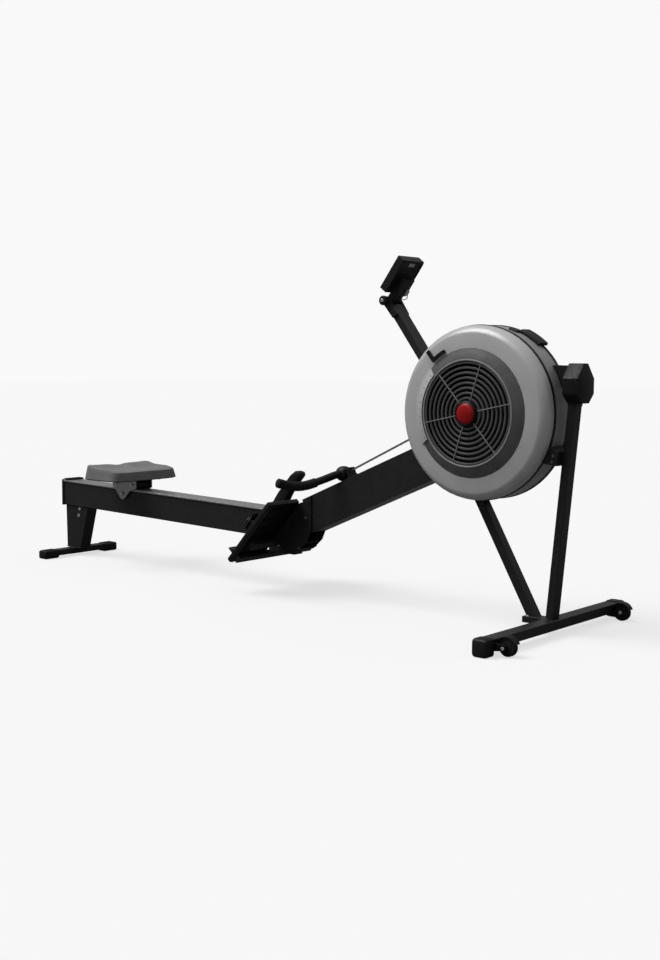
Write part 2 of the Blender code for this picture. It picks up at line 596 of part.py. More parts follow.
def housing():
    """The two outer shells, the dished intake ring, its guard, the hub cap and the damper lever."""
    near = turned("shell_near", shell_profile(RIM_RADIUS, 0.0028), hub_point(0), (0, -1, 0), SILVER_SHELL, 56,
                  closed=True)
    scale_profile = [(0.1610, 0.1065), (0.1790, 0.0965), (0.1900, 0.0915), (0.1960, 0.0905), (0.1960, 0.0870),
                     (0.1906, 0.0870), (0.1906, 0.0890), (0.1790, 0.0940), (0.1610, 0.1040)]
    scale = turned("damper_scale", scale_profile, hub_point(0), (0, -1, 0), None, 48, closed=True, group=CUTTERS)
    reach = sector(0.150, 0.210, 137, 210, 14)
    combine(scale, outline("scale_reach", [reach], 0.060, side_view(-0.095), None, CUTTERS), "INTERSECT")
    combine(near, scale, "UNION")
    far_profile = [(0.0600, 0.0790), (0.2050, 0.0730), (0.2330, 0.0640), (0.2430, 0.0530), (0.2450, PLATE_OUTER + GAP),
                   (0.2425, PLATE_OUTER + GAP), (0.2405, 0.0520), (0.2315, 0.0615), (0.2040, 0.0705), (0.0600, 0.0765)]
    turned("shell_far", far_profile, hub_point(0), (0, 1, 0), BLACK_PLASTIC, 48, closed=True)
    rim = INTAKE_RADIUS - 0.0004
    ring = [(GUARD_RADIUS, 0.1040), (0.1600, 0.1032), (0.1790, 0.0930), (rim, 0.0882), (rim, 0.0852), (0.1780, 0.0896),
            (0.1590, 0.1000), (GUARD_RADIUS, 0.1010)]
    turned("intake_ring", ring, hub_point(0), (0, -1, 0), DARK_SHELL, 48, closed=True)

    loops = [circle(GUARD_RADIUS - 0.0004, 48)]
    for inner in (0.040, 0.068, 0.096, 0.124):
        for spoke in range(6):
            start = 12 + 60 * spoke
            edge = math.degrees(0.0025 / inner)
            loops.append(sector(inner, inner + 0.020, start + edge, start + 60 - edge, 5))
    outline("intake_guard", loops, 0.0030, side_view(-0.1015), BLACK_PLASTIC)
    cap = [(0, 0.0140), (0.0200, 0.0128), (0.0310, 0.0085), (0.0350, 0.0030), (0.0350, 0), (0, 0)]
    turned("hub_cap", cap, hub_point(-0.1033), (0, -1, 0), RED_PLASTIC, 28)

    loop = arc(0.2360, 128.5, 131.5, 3) + arc(0.1965, 131.5, 116, 6) + arc(0.2065, 116, 128.5, 5)
    lever = outline("damper_lever", [loop], 0.0060, side_view(-0.0918), BLACK_PLASTIC)
    pivot("damper_turn", hub_point(-0.0918), lever)


# ---------------------------------------------------------------- front stand
def front_stand():
    """The front foot bar, the leaning upright with its top block, the diagonal leg and the housing's brackets."""
    bar_top, bar_bottom = 0.0480, 0.0200
    bar_mid = (bar_top + bar_bottom) / 2
    bar_end = FRONT_FOOT_HALF - FRONT_CAP_LONG
    rect_tube("front_foot_bar", 0.044, bar_top - bar_bottom, 0.0025, at(0, -bar_end, bar_mid), at(0, bar_end, bar_mid),
              FRAME_PAINT, across="X")
    foot_z = bar_top + GAP + 0.0015
    rect_tube("upright", 0.036, 0.025, 0.002, at(UPRIGHT_FOOT[0], 0, foot_z), at(UPRIGHT_TOP[0], 0, UPRIGHT_TOP[1]),
              FRAME_PAINT)
    leg = rect_tube("diagonal_leg", 0.033, 0.028, 0.002, at(LEG_FOOT[0], 0, LEG_FOOT[1]), at(LEG_TOP[0], 0, LEG_TOP[1]),
                    FRAME_PAINT)
    combine(leg, box("leg_base", (0.0720, 0.0460, 0.0180), at(-0.0586, 0, 0.0370), None, group=CUTTERS), "UNION")

    block = [(-0.0465, 0.694), (-0.0465, 0.738), (-0.012, 0.780), (0.012, 0.780), (0.0465, 0.738), (0.0465, 0.694),
             (0.020, 0.668), (-0.020, 0.668)]
    front_view = Matrix((Vector((0, 1, 0)), Vector((0, 0, 1)), Vector((1, 0, 0)))).transposed().to_4x4()
    front_view.translation = at(0.0635, 0, 0)
    cap = outline("upright_cap", [block], 0.0500, front_view, BLACK_PLASTIC)
    add_bevel(cap, 0.003, 2)

    clear = RIM_RADIUS + 0.0006
    lower = arc(clear, -32, -20, 6) + [(0.0286, 0.5330), (0.0246, 0.4910)]
    outline("rim_bracket_lower", [lower], 0.0900, side_view(0), FRAME_PAINT)
    upper = arc(clear, 18.6, 33.4, 6) + [(0.0380, 0.7730), (0.0380, 0.7150)]
    outline("rim_bracket_upper", [upper], 0.0240, side_view(0.0220), FRAME_PAINT)


def front_feet():
    """The end feet, each with the arm and pin that hold a transport wheel."""
    cap_wide, cap_tall = 0.052, 0.052
    arm_inner, arm_outer = 0.3260, 0.3500
    for side, suffix in ((-1, "near"), (1, "far")):
        inner = FRONT_FOOT_HALF - FRONT_CAP_LONG + GAP
        foot = box("front_foot_" + suffix, (cap_wide, FRONT_FOOT_HALF - inner, cap_tall),
                   at(0, side * (FRONT_FOOT_HALF + inner) / 2, cap_tall / 2), BLACK_PLASTIC)
        arm = box("wheel_arm", (0.0530, arm_outer - arm_inner, 0.034), at(0.0490, side * (arm_inner + arm_outer) / 2, 0.030),
                  None, group=CUTTERS)
        combine(foot, arm, "UNION")
        pin_y = side * (TRANSPORT_WHEEL_Y + 0.0045)
        pin = cylinder("wheel_pin", 0.0040, 0.0330, at(TRANSPORT_WHEEL_X, pin_y, TRANSPORT_WHEEL_RADIUS), (0, 1, 0), 12)
        combine(foot, pin, "UNION")
        centre = at(TRANSPORT_WHEEL_X, side * TRANSPORT_WHEEL_Y, TRANSPORT_WHEEL_RADIUS)
        wheel = disc("transport_wheel_" + suffix, TRANSPORT_WHEEL_RADIUS - 0.0004, 0.0043, 0.0100, 0.003, centre,
                     (0, 1, 0), RUBBER, 24)
        pivot("transport_spin_" + suffix, centre, wheel)


# ---------------------------------------------------------------- monitor
def monitor():
    """The arm that pivots on the frame plates, and the tilting console with its clamp knob, keys and lead."""
    foot, top = Vector(ARM_PIVOT), Vector(ARM_TOP)
    way = (top - foot).normalized()
    end = top - way * 0.0220
    arm = rect_tube("monitor_arm", 0.050, 0.022, 0.002, at(foot.x, 0, foot.y), at(end.x, 0, end.y), FRAME_PAINT)

    tilt = CONSOLE_TILT
    along = Vector((math.cos(tilt), math.sin(tilt)))
    face = Vector((-math.sin(tilt), math.cos(tilt)))

    def on_console(a, f):
        p = top + along * a + face * f
        return at(p.x, 0, p.y)

    case = box("console_case", (0.119, 0.104, 0.026), on_console(0.0870, 0.0170), BLACK_PLASTIC, rise=tilt)
    pod = box("console_pod", (0.060, 0.056, 0.022), on_console(0.0600, -0.0060), None, rise=tilt, group=CUTTERS)
    neck = box("console_neck", (0.060, 0.036, 0.026), on_console(0.0160, -0.0030), None, rise=tilt, group=CUTTERS)
    combine(case, pod, "UNION")
    combine(case, neck, "UNION")
    lead = []
    for a, f, y in ((0.0450, -0.0182, 0.0160), (0.0420, -0.0270, 0.0180), (0.0350, -0.0340, 0.0140),
                    (0.0285, -0.0340, 0.0070), (0.0265, -0.0270, 0.0020), (0.0270, -0.0168, 0.0)):
        place = on_console(a, f)
        lead.append((place.x, y, place.z))
    wire("console_lead", lead, 0.0014, RUBBER, 1)
    for name, y in (("key_left", 0.022), ("key_right", -0.022)):
        place = on_console(0.0560, 0.03105)
        place.y = y
        pocket_place = on_console(0.0560, 0.0300)
        pocket_place.y = y
        pocket = box("key_pocket", (0.0140, 0.0210, 0.0060), pocket_place, None, rise=tilt, group=CUTTERS)
        combine(case, pocket, "DIFFERENCE")
        key = box(name, (0.013, 0.020, 0.0045), place, RUBBER, rise=tilt)
        pivot(name + "_press", place, key)
    knob_profile = [(0, 0.0130), (0.0120, 0.0130), (0.0155, 0.0100), (0.0155, 0.0020), (0.0130, 0), (0, 0)]
    knob_place = at(ARM_TOP[0], -0.0363, ARM_TOP[1])
    knob = turned("tilt_knob", knob_profile, knob_place, (0, -1, 0), BLACK_PLASTIC, 20)
    pivot("knob_turn", knob_place, knob)
    for side in (-1, 1):
        fork = outline("arm_fork", [fork_loop(top, way)], 0.0080, side_view(side * 0.0280), None, CUTTERS)
        combine(arm, fork, "UNION")
    pivot("console_tilt", at(ARM_TOP[0], 0, ARM_TOP[1]), case)
    pivot("arm_turn", at(ARM_PIVOT[0], 0, ARM_PIVOT[1]), arm)


def fork_loop(top, way):
    """One ear of the arm's fork: a strap along the arm with a round end."""
    across = Vector((-way.y, way.x))
    low = top - way * 0.060
    round_end = [top + way * 0.014 * math.sin(a) + across * 0.014 * math.cos(a)
                 for a in (math.pi * i / 6 for i in range(7))]
    return [tuple(low - across * 0.0105), *[tuple(p) for p in reversed(round_end)], tuple(low + across * 0.0105)]


rear_end()
rail()
seat()
beam_and_joint()
footrests()
handle_group()
drive()
flywheel()
frame_plates()
housing()
front_stand()
front_feet()
monitor()
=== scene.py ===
import json
import math

import bmesh
import bpy
from mathutils import Matrix, Vector


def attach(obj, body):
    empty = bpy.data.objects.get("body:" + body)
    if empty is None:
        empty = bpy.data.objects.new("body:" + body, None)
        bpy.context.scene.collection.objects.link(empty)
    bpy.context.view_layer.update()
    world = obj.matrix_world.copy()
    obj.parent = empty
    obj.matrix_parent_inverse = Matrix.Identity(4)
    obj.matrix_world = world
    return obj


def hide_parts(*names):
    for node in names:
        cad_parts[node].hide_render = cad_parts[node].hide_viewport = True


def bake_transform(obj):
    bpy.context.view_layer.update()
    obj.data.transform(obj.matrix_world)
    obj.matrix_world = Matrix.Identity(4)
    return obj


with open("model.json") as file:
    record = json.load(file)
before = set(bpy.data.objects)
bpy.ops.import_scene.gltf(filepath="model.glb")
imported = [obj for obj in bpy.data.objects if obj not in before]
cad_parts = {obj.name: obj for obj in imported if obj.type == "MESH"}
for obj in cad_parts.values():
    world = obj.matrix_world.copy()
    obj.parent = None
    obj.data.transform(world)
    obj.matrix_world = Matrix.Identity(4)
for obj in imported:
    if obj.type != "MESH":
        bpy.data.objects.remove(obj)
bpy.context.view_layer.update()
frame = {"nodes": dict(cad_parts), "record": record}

NODES = frame["nodes"]
FRONT_FOOT_X = 1.0904
WHEEL_X, WHEEL_Z = -0.243, 0.633
RAIL_FALL = math.radians(1.2)
FOOTPLATE_RISE = math.radians(47.8)
FOOTPLATE_HEEL = (-1.153, 0.118)
FOOT_MID_Y = 0.118
CONSOLE_TILT = math.radians(52.7)
ARM_TOP = (-0.604, 0.971)
UPRIGHT_TOP_X = 0.0552
WHEEL_AXLE = (0.0495, 0.3120, 0.0262)
HANDLE_X, HANDLE_Z = -0.800, 0.4155
GUARD_FACE = 0.0996
HUB_FACE = 0.1033
FOOTPLATE_THICK = 0.018
STRAP_ALONG = 0.150

FLOOR_GLOW = 0.67
FLOOR_SHADE = 0.20
FLOOR_BOUNCE = 0.14
BACKDROP_WHITE = 0.947
SKY_LOW, SKY_HIGH = 0.25, 0.80
KEY_POWER = 3.14
KEY_WIDTH = math.radians(38)
KEY_WAY = (0.45, 0.35, -0.82)


def at(x, y, z):
    """A point x ahead of the front foot bar, y to the left, z above the floor."""
    return Vector((FRONT_FOOT_X + x, y, z))


def rail_z(x):
    return 0.2365 + (-1.73 - x) * math.tan(RAIL_FALL)


def on_plate(along, out, y):
    cos, sin = math.cos(FOOTPLATE_RISE), math.sin(FOOTPLATE_RISE)
    return at(FOOTPLATE_HEEL[0] + along * cos - out * sin, y, FOOTPLATE_HEEL[1] + along * sin + out * cos)


def on_console(a, f, y=0.0):
    cos, sin = math.cos(CONSOLE_TILT), math.sin(CONSOLE_TILT)
    return at(ARM_TOP[0] + a * cos - f * sin, y, ARM_TOP[1] + a * sin + f * cos)


def polar(radius, degrees, y):
    """A point on a circle round the axle, at degrees up from the front."""
    angle = math.radians(degrees)
    return at(WHEEL_X + radius * math.cos(angle), y, WHEEL_Z + radius * math.sin(angle))


# ---------------------------------------------------------------- materials
class Nodes:
    """A material's node tree with the few building blocks that the looks share."""

    def __init__(self, name, colour, roughness, metallic=0.0, specular=0.2):
        self.material = bpy.data.materials.new(name)
        self.material.use_nodes = True
        self.tree = self.material.node_tree
        self.shader = self.tree.nodes["Principled BSDF"]
        self.shader.inputs["Base Color"].default_value = (*colour, 1)
        self.shader.inputs["Roughness"].default_value = roughness
        self.shader.inputs["Metallic"].default_value = metallic
        self.shader.inputs["Specular IOR Level"].default_value = specular
        self.colour = colour
        self.roughness = roughness
        self.place = self.tree.nodes.new("ShaderNodeTexCoord").outputs["Object"]
        self.height = None

    def new(self, kind, **inputs):
        node = self.tree.nodes.new(kind)
        for key, value in inputs.items():
            node.inputs[key.replace("_", " ")].default_value = value
        return node

    def stretched(self, scale, turn=(0, 0, 0)):
        node = self.new("ShaderNodeMapping")
        node.inputs["Rotation"].default_value = turn
        node.inputs["Scale"].default_value = scale
        self.tree.links.new(self.place, node.inputs["Vector"])
        return node.outputs["Vector"]

    def noise(self, scale, detail=3.0, vector=None):
        node = self.new("ShaderNodeTexNoise", Scale=scale, Detail=detail)
        self.tree.links.new(vector or self.place, node.inputs["Vector"])
        return node.outputs["Fac"]

    def ranged(self, value, low, high, start=0.3, stop=0.7):
        node = self.new("ShaderNodeMapRange")
        for key, number in (("From Min", start), ("From Max", stop), ("To Min", low), ("To Max", high)):
            node.inputs[key].default_value = number
        self.tree.links.new(value, node.inputs["Value"])
        return node.outputs["Result"]

    def vary_colour(self, value, low, high, start=0.3, stop=0.7):
        """Scales the base colour between low and high times itself."""
        mix = self.tree.nodes.new("ShaderNodeMix")
        mix.data_type = "RGBA"
        mix.inputs["A"].default_value = (*[c * low for c in self.colour], 1)
        mix.inputs["B"].default_value = (*[c * high for c in self.colour], 1)
        self.tree.links.new(self.ranged(value, 0, 1, start, stop), mix.inputs["Factor"])
        self.tree.links.new(mix.outputs["Result"], self.shader.inputs["Base Color"])
        return self

    def vary_roughness(self, value, spread):
        result = self.ranged(value, max(self.roughness - spread, 0.02), min(self.roughness + spread, 1))
        self.tree.links.new(result, self.shader.inputs["Roughness"])
        return self

    def bump(self, value, strength, distance):
        node = self.new("ShaderNodeBump", Strength=strength, Distance=distance)
        self.tree.links.new(value, node.inputs["Height"])
        if self.height is not None:
            self.tree.links.new(self.height, node.inputs["Normal"])
        self.height = node.outputs["Normal"]
        self.tree.links.new(self.height, self.shader.inputs["Normal"])
        return self


def powder_coat(name, colour, roughness=0.42):
    look = Nodes(name, colour, roughness)
    look.vary_colour(look.noise(38, 4), 0.86, 1.16)
    look.vary_roughness(look.noise(90, 3), 0.06)
    look.bump(look.noise(1400, 2), 0.10, 0.0004)
    look.bump(look.noise(220, 2), 0.05, 0.0006)
    return look.material


def moulded(name, colour, roughness=0.5, grain=2100, depth=0.16):
    look = Nodes(name, colour, roughness)
    look.vary_colour(look.noise(26, 4), 0.88, 1.14)
    look.vary_roughness(look.noise(120, 3), 0.07)
    look.bump(look.noise(grain, 2), depth, 0.0003)
    return look.material


def silver(name, colour, roughness=0.36):
    look = Nodes(name, colour, roughness, 0.12, 0.35)
    look.vary_colour(look.noise(14, 5), 0.96, 1.05)
    look.vary_roughness(look.noise(60, 4), 0.04)
    look.bump(look.noise(2600, 1), 0.05, 0.0002)
    return look.material


def brushed(name, colour, scale, roughness=0.30, metallic=0.9):
    """Metal brushed along the axis whose scale is smallest."""
    look = Nodes(name, colour, roughness, metallic, 0.5)
    lines = look.noise(1.0, 3, look.stretched(scale))
    look.vary_colour(lines, 0.84, 1.12)
    look.vary_roughness(lines, 0.09)
    look.bump(lines, 0.12, 0.0002)
    return look.material


def soft_rubber(name, colour, roughness=0.78, grain=900, depth=0.25):
    look = Nodes(name, colour, roughness)
    look.vary_colour(look.noise(45, 4), 0.80, 1.22)
    look.vary_roughness(look.noise(160, 3), 0.08)
    look.bump(look.noise(grain, 3), depth, 0.0005)
    return look.material


def foam_skin(name, colour):
    """The seat's moulded foam skin: a fine pebbled grain, with a faint sheen and wider mottling."""
    look = Nodes(name, colour, 0.72)
    look.shader.inputs["Sheen Weight"].default_value = 0.12
    look.shader.inputs["Sheen Roughness"].default_value = 0.6
    look.vary_colour(look.noise(22, 5), 0.90, 1.10)
    cells = look.new("ShaderNodeTexVoronoi", Scale=620)
    look.tree.links.new(look.place, cells.inputs["Vector"])
    look.bump(look.noise(70, 3), 0.10, 0.0010)
    look.bump(cells.outputs["Distance"], 0.22, 0.0005)
    return look.material


def woven(name, colour, turn):
    """Webbing: ribs across the strap and a finer thread along it."""
    look = Nodes(name, colour, 0.9)
    place = look.stretched((1, 1, 1), turn)
    heights = []
    for direction, scale in (("X", 260.0), ("Y", 420.0)):
        wave = look.new("ShaderNodeTexWave", Scale=scale, Distortion=0.6)
        wave.inputs["Detail Scale"].default_value = 3.0
        wave.wave_type = "BANDS"
        wave.bands_direction = direction
        look.tree.links.new(place, wave.inputs["Vector"])
        heights.append(wave.outputs["Fac"])
    look.vary_colour(heights[0], 0.7, 1.5, 0.1, 0.9)
    look.bump(heights[0], 0.5, 0.0006)
    look.bump(heights[1], 0.3, 0.0004)
    return look.material


def screen_glass(name, colour):
    look = Nodes(name, colour, 0.16)
    look.vary_colour(look.noise(9, 2), 0.96, 1.04)
    return look.material


PAINT = powder_coat("frame_paint_look", (0.0115, 0.0115, 0.0120))
RAIL_PAINT = powder_coat("rail_paint_look", (0.0150, 0.0150, 0.0155), 0.40)
PLASTIC = moulded("black_plastic_look", (0.0044, 0.0044, 0.0045))
CONSOLE_PLASTIC = moulded("console_plastic_look", (0.0085, 0.0085, 0.0088), 0.46, 1500, 0.20)
SILVER = silver("silver_shell_look", (0.400, 0.400, 0.405))
BAND_SILVER = silver("rim_band_look", (0.250, 0.250, 0.254), 0.42)
DARK = moulded("dark_shell_look", (0.076, 0.076, 0.078), 0.46, 1800, 0.08)
GUARD_GREY = moulded("guard_look", (0.064, 0.064, 0.066), 0.45, 1800, 0.10)
TRACK = brushed("track_steel_look", (0.38, 0.38, 0.39), (9, 900, 900))
STEEL = brushed("plain_steel_look", (0.36, 0.36, 0.37), (300, 900, 500), 0.34)
BOLT_STEEL = brushed("bolt_steel_look", (0.60, 0.60, 0.61), (1200, 1200, 1200), 0.30)
CHAIN_STEEL = brushed("chain_steel_look", (0.30, 0.30, 0.30), (1500, 1500, 1500), 0.36)
# Painted shade: the flywheel is coloured near black so the inside of the housing behind the guard reads
# dark, darker than the grey that model.json gives flywheel_metal.
FLYWHEEL_PAINTED_SHADE = moulded("flywheel_painted_shade_look", (0.0055, 0.0055, 0.0058), 0.6)
FOAM = foam_skin("seat_foam_look", (0.112, 0.112, 0.114))
RUBBER = soft_rubber("rubber_look", (0.0068, 0.0068, 0.0070))
GRIP = soft_rubber("grip_look", (0.0062, 0.0062, 0.0064), 0.82, 1300, 0.35)
RED = moulded("red_cap_look", (0.250, 0.003, 0.004), 0.34, 2200, 0.05)
WEBBING = woven("webbing_look", (0.008, 0.008, 0.008), (0, -FOOTPLATE_RISE, 0))
LIGHT_GREY = moulded("light_plastic_look", (0.36, 0.36, 0.37), 0.40, 1900, 0.08)
MID_GREY = moulded("grey_plastic_look", (0.205, 0.205, 0.210), 0.42, 1900, 0.08)
SCREEN = screen_glass("screen_look", (0.15, 0.17, 0.14))

SLOT_LOOKS = {"frame_paint": PAINT, "black_plastic": PLASTIC, "silver_shell": SILVER, "dark_shell": DARK,
              "track_steel": TRACK, "plain_steel": STEEL, "flywheel_metal": FLYWHEEL_PAINTED_SHADE, "seat_foam": FOAM,
              "rubber": RUBBER,
              "red_plastic": RED, "webbing": WEBBING}
NODE_LOOKS = {"seat_rail": RAIL_PAINT, "main_beam": RAIL_PAINT, "rim_band": BAND_SILVER,
              "rim_band_rear": BAND_SILVER,
              "console_case": CONSOLE_PLASTIC, "monitor_arm": RAIL_PAINT, "shell_far": RAIL_PAINT}


# ---------------------------------------------------------------- CAD nodes: looks and edge rounding
def smoothing_group():
    """Joins split vertices, shades faces smooth and keeps edges over 35 degrees sharp."""
    group = bpy.data.node_groups.new("smooth_by_edge", "GeometryNodeTree")
    group.interface.new_socket("Geometry", in_out="INPUT", socket_type="NodeSocketGeometry")
    group.interface.new_socket("Geometry", in_out="OUTPUT", socket_type="NodeSocketGeometry")
    source, target = group.nodes.new("NodeGroupInput"), group.nodes.new("NodeGroupOutput")
    merge = group.nodes.new("GeometryNodeMergeByDistance")
    merge.inputs["Distance"].default_value = 0.00002
    faces = group.nodes.new("GeometryNodeSetShadeSmooth")
    edges = group.nodes.new("GeometryNodeSetShadeSmooth")
    edges.domain = "EDGE"
    edges.inputs["Shade Smooth"].default_value = False
    angle = group.nodes.new("GeometryNodeInputMeshEdgeAngle")
    wide = group.nodes.new("ShaderNodeMath")
    wide.operation = "GREATER_THAN"
    wide.inputs[1].default_value = math.radians(35)
    join = group.links.new
    join(source.outputs[0], merge.inputs["Geometry"])
    join(merge.outputs["Geometry"], faces.inputs["Geometry"])
    join(faces.outputs["Geometry"], edges.inputs["Geometry"])
    join(angle.outputs["Unsigned Angle"], wide.inputs[0])
    join(wide.outputs[0], edges.inputs["Selection"])
    join(edges.outputs["Geometry"], target.inputs[0])
    return group


SMOOTHING = smoothing_group()
ROUNDING = {"seat_rail": 0.0035, "main_beam": 0.0050, "rear_leg": 0.0030, "rear_foot_bar": 0.0030,
            "front_foot_bar": 0.0035,
            "upright": 0.0035, "diagonal_leg": 0.0035, "monitor_arm": 0.0020, "frame_joint": 0.0015,
            "rim_bracket_lower": 0.0030, "rim_bracket_upper": 0.0030, "chain_guide": 0.0020,
            "seat_carriage": 0.0008,
            "frame_plate_near": 0.0008, "frame_plate_far": 0.0008, "damper_lever": 0.0014,
            "console_case": 0.0045,
            "intake_ring": 0.0004, "key_left": 0.0012, "key_right": 0.0012, "rear_end_cap": 0.0010}


def finish_nodes():
    for entry in frame["record"]["subparts"]:
        name = entry["node"]
        node = NODES[name]
        node.data.materials.clear()
        node.data.materials.append(NODE_LOOKS.get(name, SLOT_LOOKS[entry["material_slot"]]))
        node.modifiers.new("smooth", "NODES").node_group = SMOOTHING
        if name in ROUNDING:
            bevel = node.modifiers.new("edge_rounding", "BEVEL")
            bevel.width = ROUNDING[name]
            bevel.segments = 3
            bevel.limit_method = "ANGLE"
            bevel.angle_limit = math.radians(50)
            bevel.harden_normals = True


# ---------------------------------------------------------------- mesh building
def mesh_piece(name, verts, faces, look, body=None, smooth=True, angle=35):
    mesh = bpy.data.meshes.new(name)
    mesh.from_pydata([tuple(v) for v in verts], [], faces)
    bm = bmesh.new()
    bm.from_mesh(mesh)
    bmesh.ops.remove_doubles(bm, verts=bm.verts, dist=1e-6)
    bmesh.ops.recalc_face_normals(bm, faces=bm.faces)
    bm.to_mesh(mesh)
    bm.free()
    if smooth:
        mesh.shade_smooth()
        mesh.set_sharp_from_angle(angle=math.radians(angle))
    piece = bpy.data.objects.new(name, mesh)
    bpy.context.scene.collection.objects.link(piece)
    mesh.materials.append(look)
    if body:
        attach(piece, body)
    return piece


class Shape:
    """Collects vertices and faces of several solids that make one piece."""

    def __init__(self):
        self.verts = []
        self.faces = []

    def add(self, verts, faces):
        base = len(self.verts)
        self.verts += [Vector(v) for v in verts]
        self.faces += [tuple(base + i for i in face) for face in faces]
        return self

    def loft(self, rings, closed=False, caps=True):
        """Skins rings of equal length; closed joins the last to the first."""
        base = len(self.verts)
        count = len(rings[0])
        for ring in rings:
            self.verts += [Vector(p) for p in ring]
        spans = len(rings) if closed else len(rings) - 1
        for i in range(spans):
            j = (i + 1) % len(rings)
            for k in range(count):
                n = (k + 1) % count
                here, there = base + i * count, base + j * count
                self.faces.append((here + k, here + n, there + n, there + k))
        if caps and not closed:
            self.faces.append(tuple(base + k for k in reversed(range(count))))
            self.faces.append(tuple(base + (len(rings) - 1) * count + k for k in range(count)))
        return self

    def turned(self, profile, centre, axis, steps=48):
        """A turned solid; profile is a closed loop of (radius, height along axis)."""
        matrix = Vector((0, 0, 1)).rotation_difference(Vector(axis)).to_matrix()
        rings = []
        for i in range(steps):
            angle = math.tau * i / steps
            ring = []
            for r, h in profile:
                reach = max(r, 1e-5)
                ring.append(Vector(centre) + matrix @ Vector((reach * math.cos(angle),
                                                              reach * math.sin(angle), h)))
            rings.append(ring)
        return self.loft(rings, closed=True)

    def block(self, size, centre, basis=None, chamfer=0.0):
        """A block with chamfered edges, turned by a 3x3 basis."""
        basis = basis or Matrix.Identity(3)
        sx, sy, sz = (s / 2 for s in size)
        c = chamfer
        rings = []
        for z, inset in ((-sz, c), (-sz + c, 0), (sz - c, 0), (sz, c)):
            x, y = sx - inset, sy - inset
            cut = max(c, 1e-5)
            loop = [(x - cut, y), (x, y - cut), (x, -y + cut), (x - cut, -y), (-x + cut, -y),
                    (-x, -y + cut), (-x, y - cut),
                    (-x + cut, y)]
            rings.append([Vector(centre) + basis @ Vector((a, b, z)) for a, b in loop])
        return self.loft(rings)

    def prism(self, loop, y0, y1):
        """A side-view outline, given as (x, z) from the front foot bar, between two y."""
        return self.loft([[at(x, y, z) for x, z in loop] for y in (y0, y1)])

    def tube(self, points, radius, sides=16, caps=True, flat=1.0):
        """A round rod along the points; radius may be a list with one value for each point."""
        points = [Vector(p) for p in points]
        radii = radius if isinstance(radius, (list, tuple)) else [radius] * len(points)
        rings = []
        side = None
        for i, p in enumerate(points):
            way = (points[min(i + 1, len(points) - 1)] - points[max(i - 1, 0)]).normalized()
            if side is None:
                side = way.cross(Vector((0, 0, 1)) if abs(way.z) < 0.9 else Vector((1, 0,
                                                                                    0))).normalized()
            side = (side - way * side.dot(way)).normalized()
            up = way.cross(side)
            turns = [math.tau * k / sides for k in range(sides)]
            rings.append([p + radii[i] * (side * math.cos(turn) + up * flat * math.sin(turn))
                          for turn in turns])
        return self.loft(rings, caps=caps)

    def bolt(self, centre, axis, radius, height=0.004, sides=24):
        """A low button head with a hexagon socket."""
        axis = Vector(axis).normalized()
        socket = radius * 0.42
        depth = height * 0.55
        profile = [(0, 0), (radius, 0), (radius, height * 0.35), (radius * 0.86, height * 0.80),
                   (radius * 0.62, height),
                   (socket, height), (socket * 0.96, height - depth), (0, height - depth)]
        return self.turned(profile, centre, axis, sides)

    def nut(self, centre, axis, radius, height=0.004):
        """A hexagon head on a washer."""
        axis = Vector(axis).normalized()
        washer, seat = radius * 1.35, height * 0.25
        self.turned([(0, 0), (washer, 0), (washer, seat), (0, seat)], centre, axis, 24)
        profile = [(0, seat), (radius, seat), (radius, height * 0.88), (radius * 0.90, height), (0, height)]
        return self.turned(profile, centre, axis, 6)

    def make(self, name, look, body, slot=None, angle=35):
        return mesh_piece(name, self.verts, self.faces, look, body, angle=angle)


def frame_basis(rise):
    """Columns along, across and out for a slope that rises towards +X."""
    return Matrix(((math.cos(rise), 0, -math.sin(rise)), (0, 1, 0), (math.sin(rise), 0, math.cos(rise))))


PLATE_BASIS = frame_basis(FOOTPLATE_RISE)
CONSOLE_BASIS = frame_basis(CONSOLE_TILT)


# ---------------------------------------------------------------- seat
SEAT_X = -1.872


def seat_outline(angle):
    """The seat's plan at an angle: nearly a rectangle with round corners and a notch at the rear."""
    cos, sin = math.cos(angle), math.sin(angle)
    power = 11
    reach = (abs(cos) ** power + abs(sin) ** power) ** (-1 / power)
    x, y = 0.1005 * reach * cos, 0.1595 * reach * sin
    if x < -0.05:
        x += 0.010 * math.exp(-((y / 0.026) ** 2))
    if x > 0.05:
        x -= 0.012 * (abs(y) / 0.16) ** 2
    return x, y


def seat_height(x, y):
    """The dished top: two hollows, a raised rear and sides, and a lower front."""
    z = 0.3715
    z -= 0.0085 * math.exp(-((x + 0.004) / 0.052) ** 2) * (math.exp(-((abs(y) - 0.066) / 0.045) ** 2))
    z += 0.0110 * math.exp(-((x + 0.088) / 0.034) ** 2) * (1 - 0.45 * math.exp(-((y / 0.034) ** 2)))
    z += 0.0035 * math.exp(-((abs(y) - 0.150) / 0.030) ** 2) * math.exp(-((x + 0.03) / 0.09) ** 2)
    z -= 0.0085 * max(0.0, (x - 0.030) / 0.070) ** 1.6
    z -= 0.0050 * max(0.0, (x - 0.030) / 0.070) * (abs(y) / 0.16) ** 2
    return z


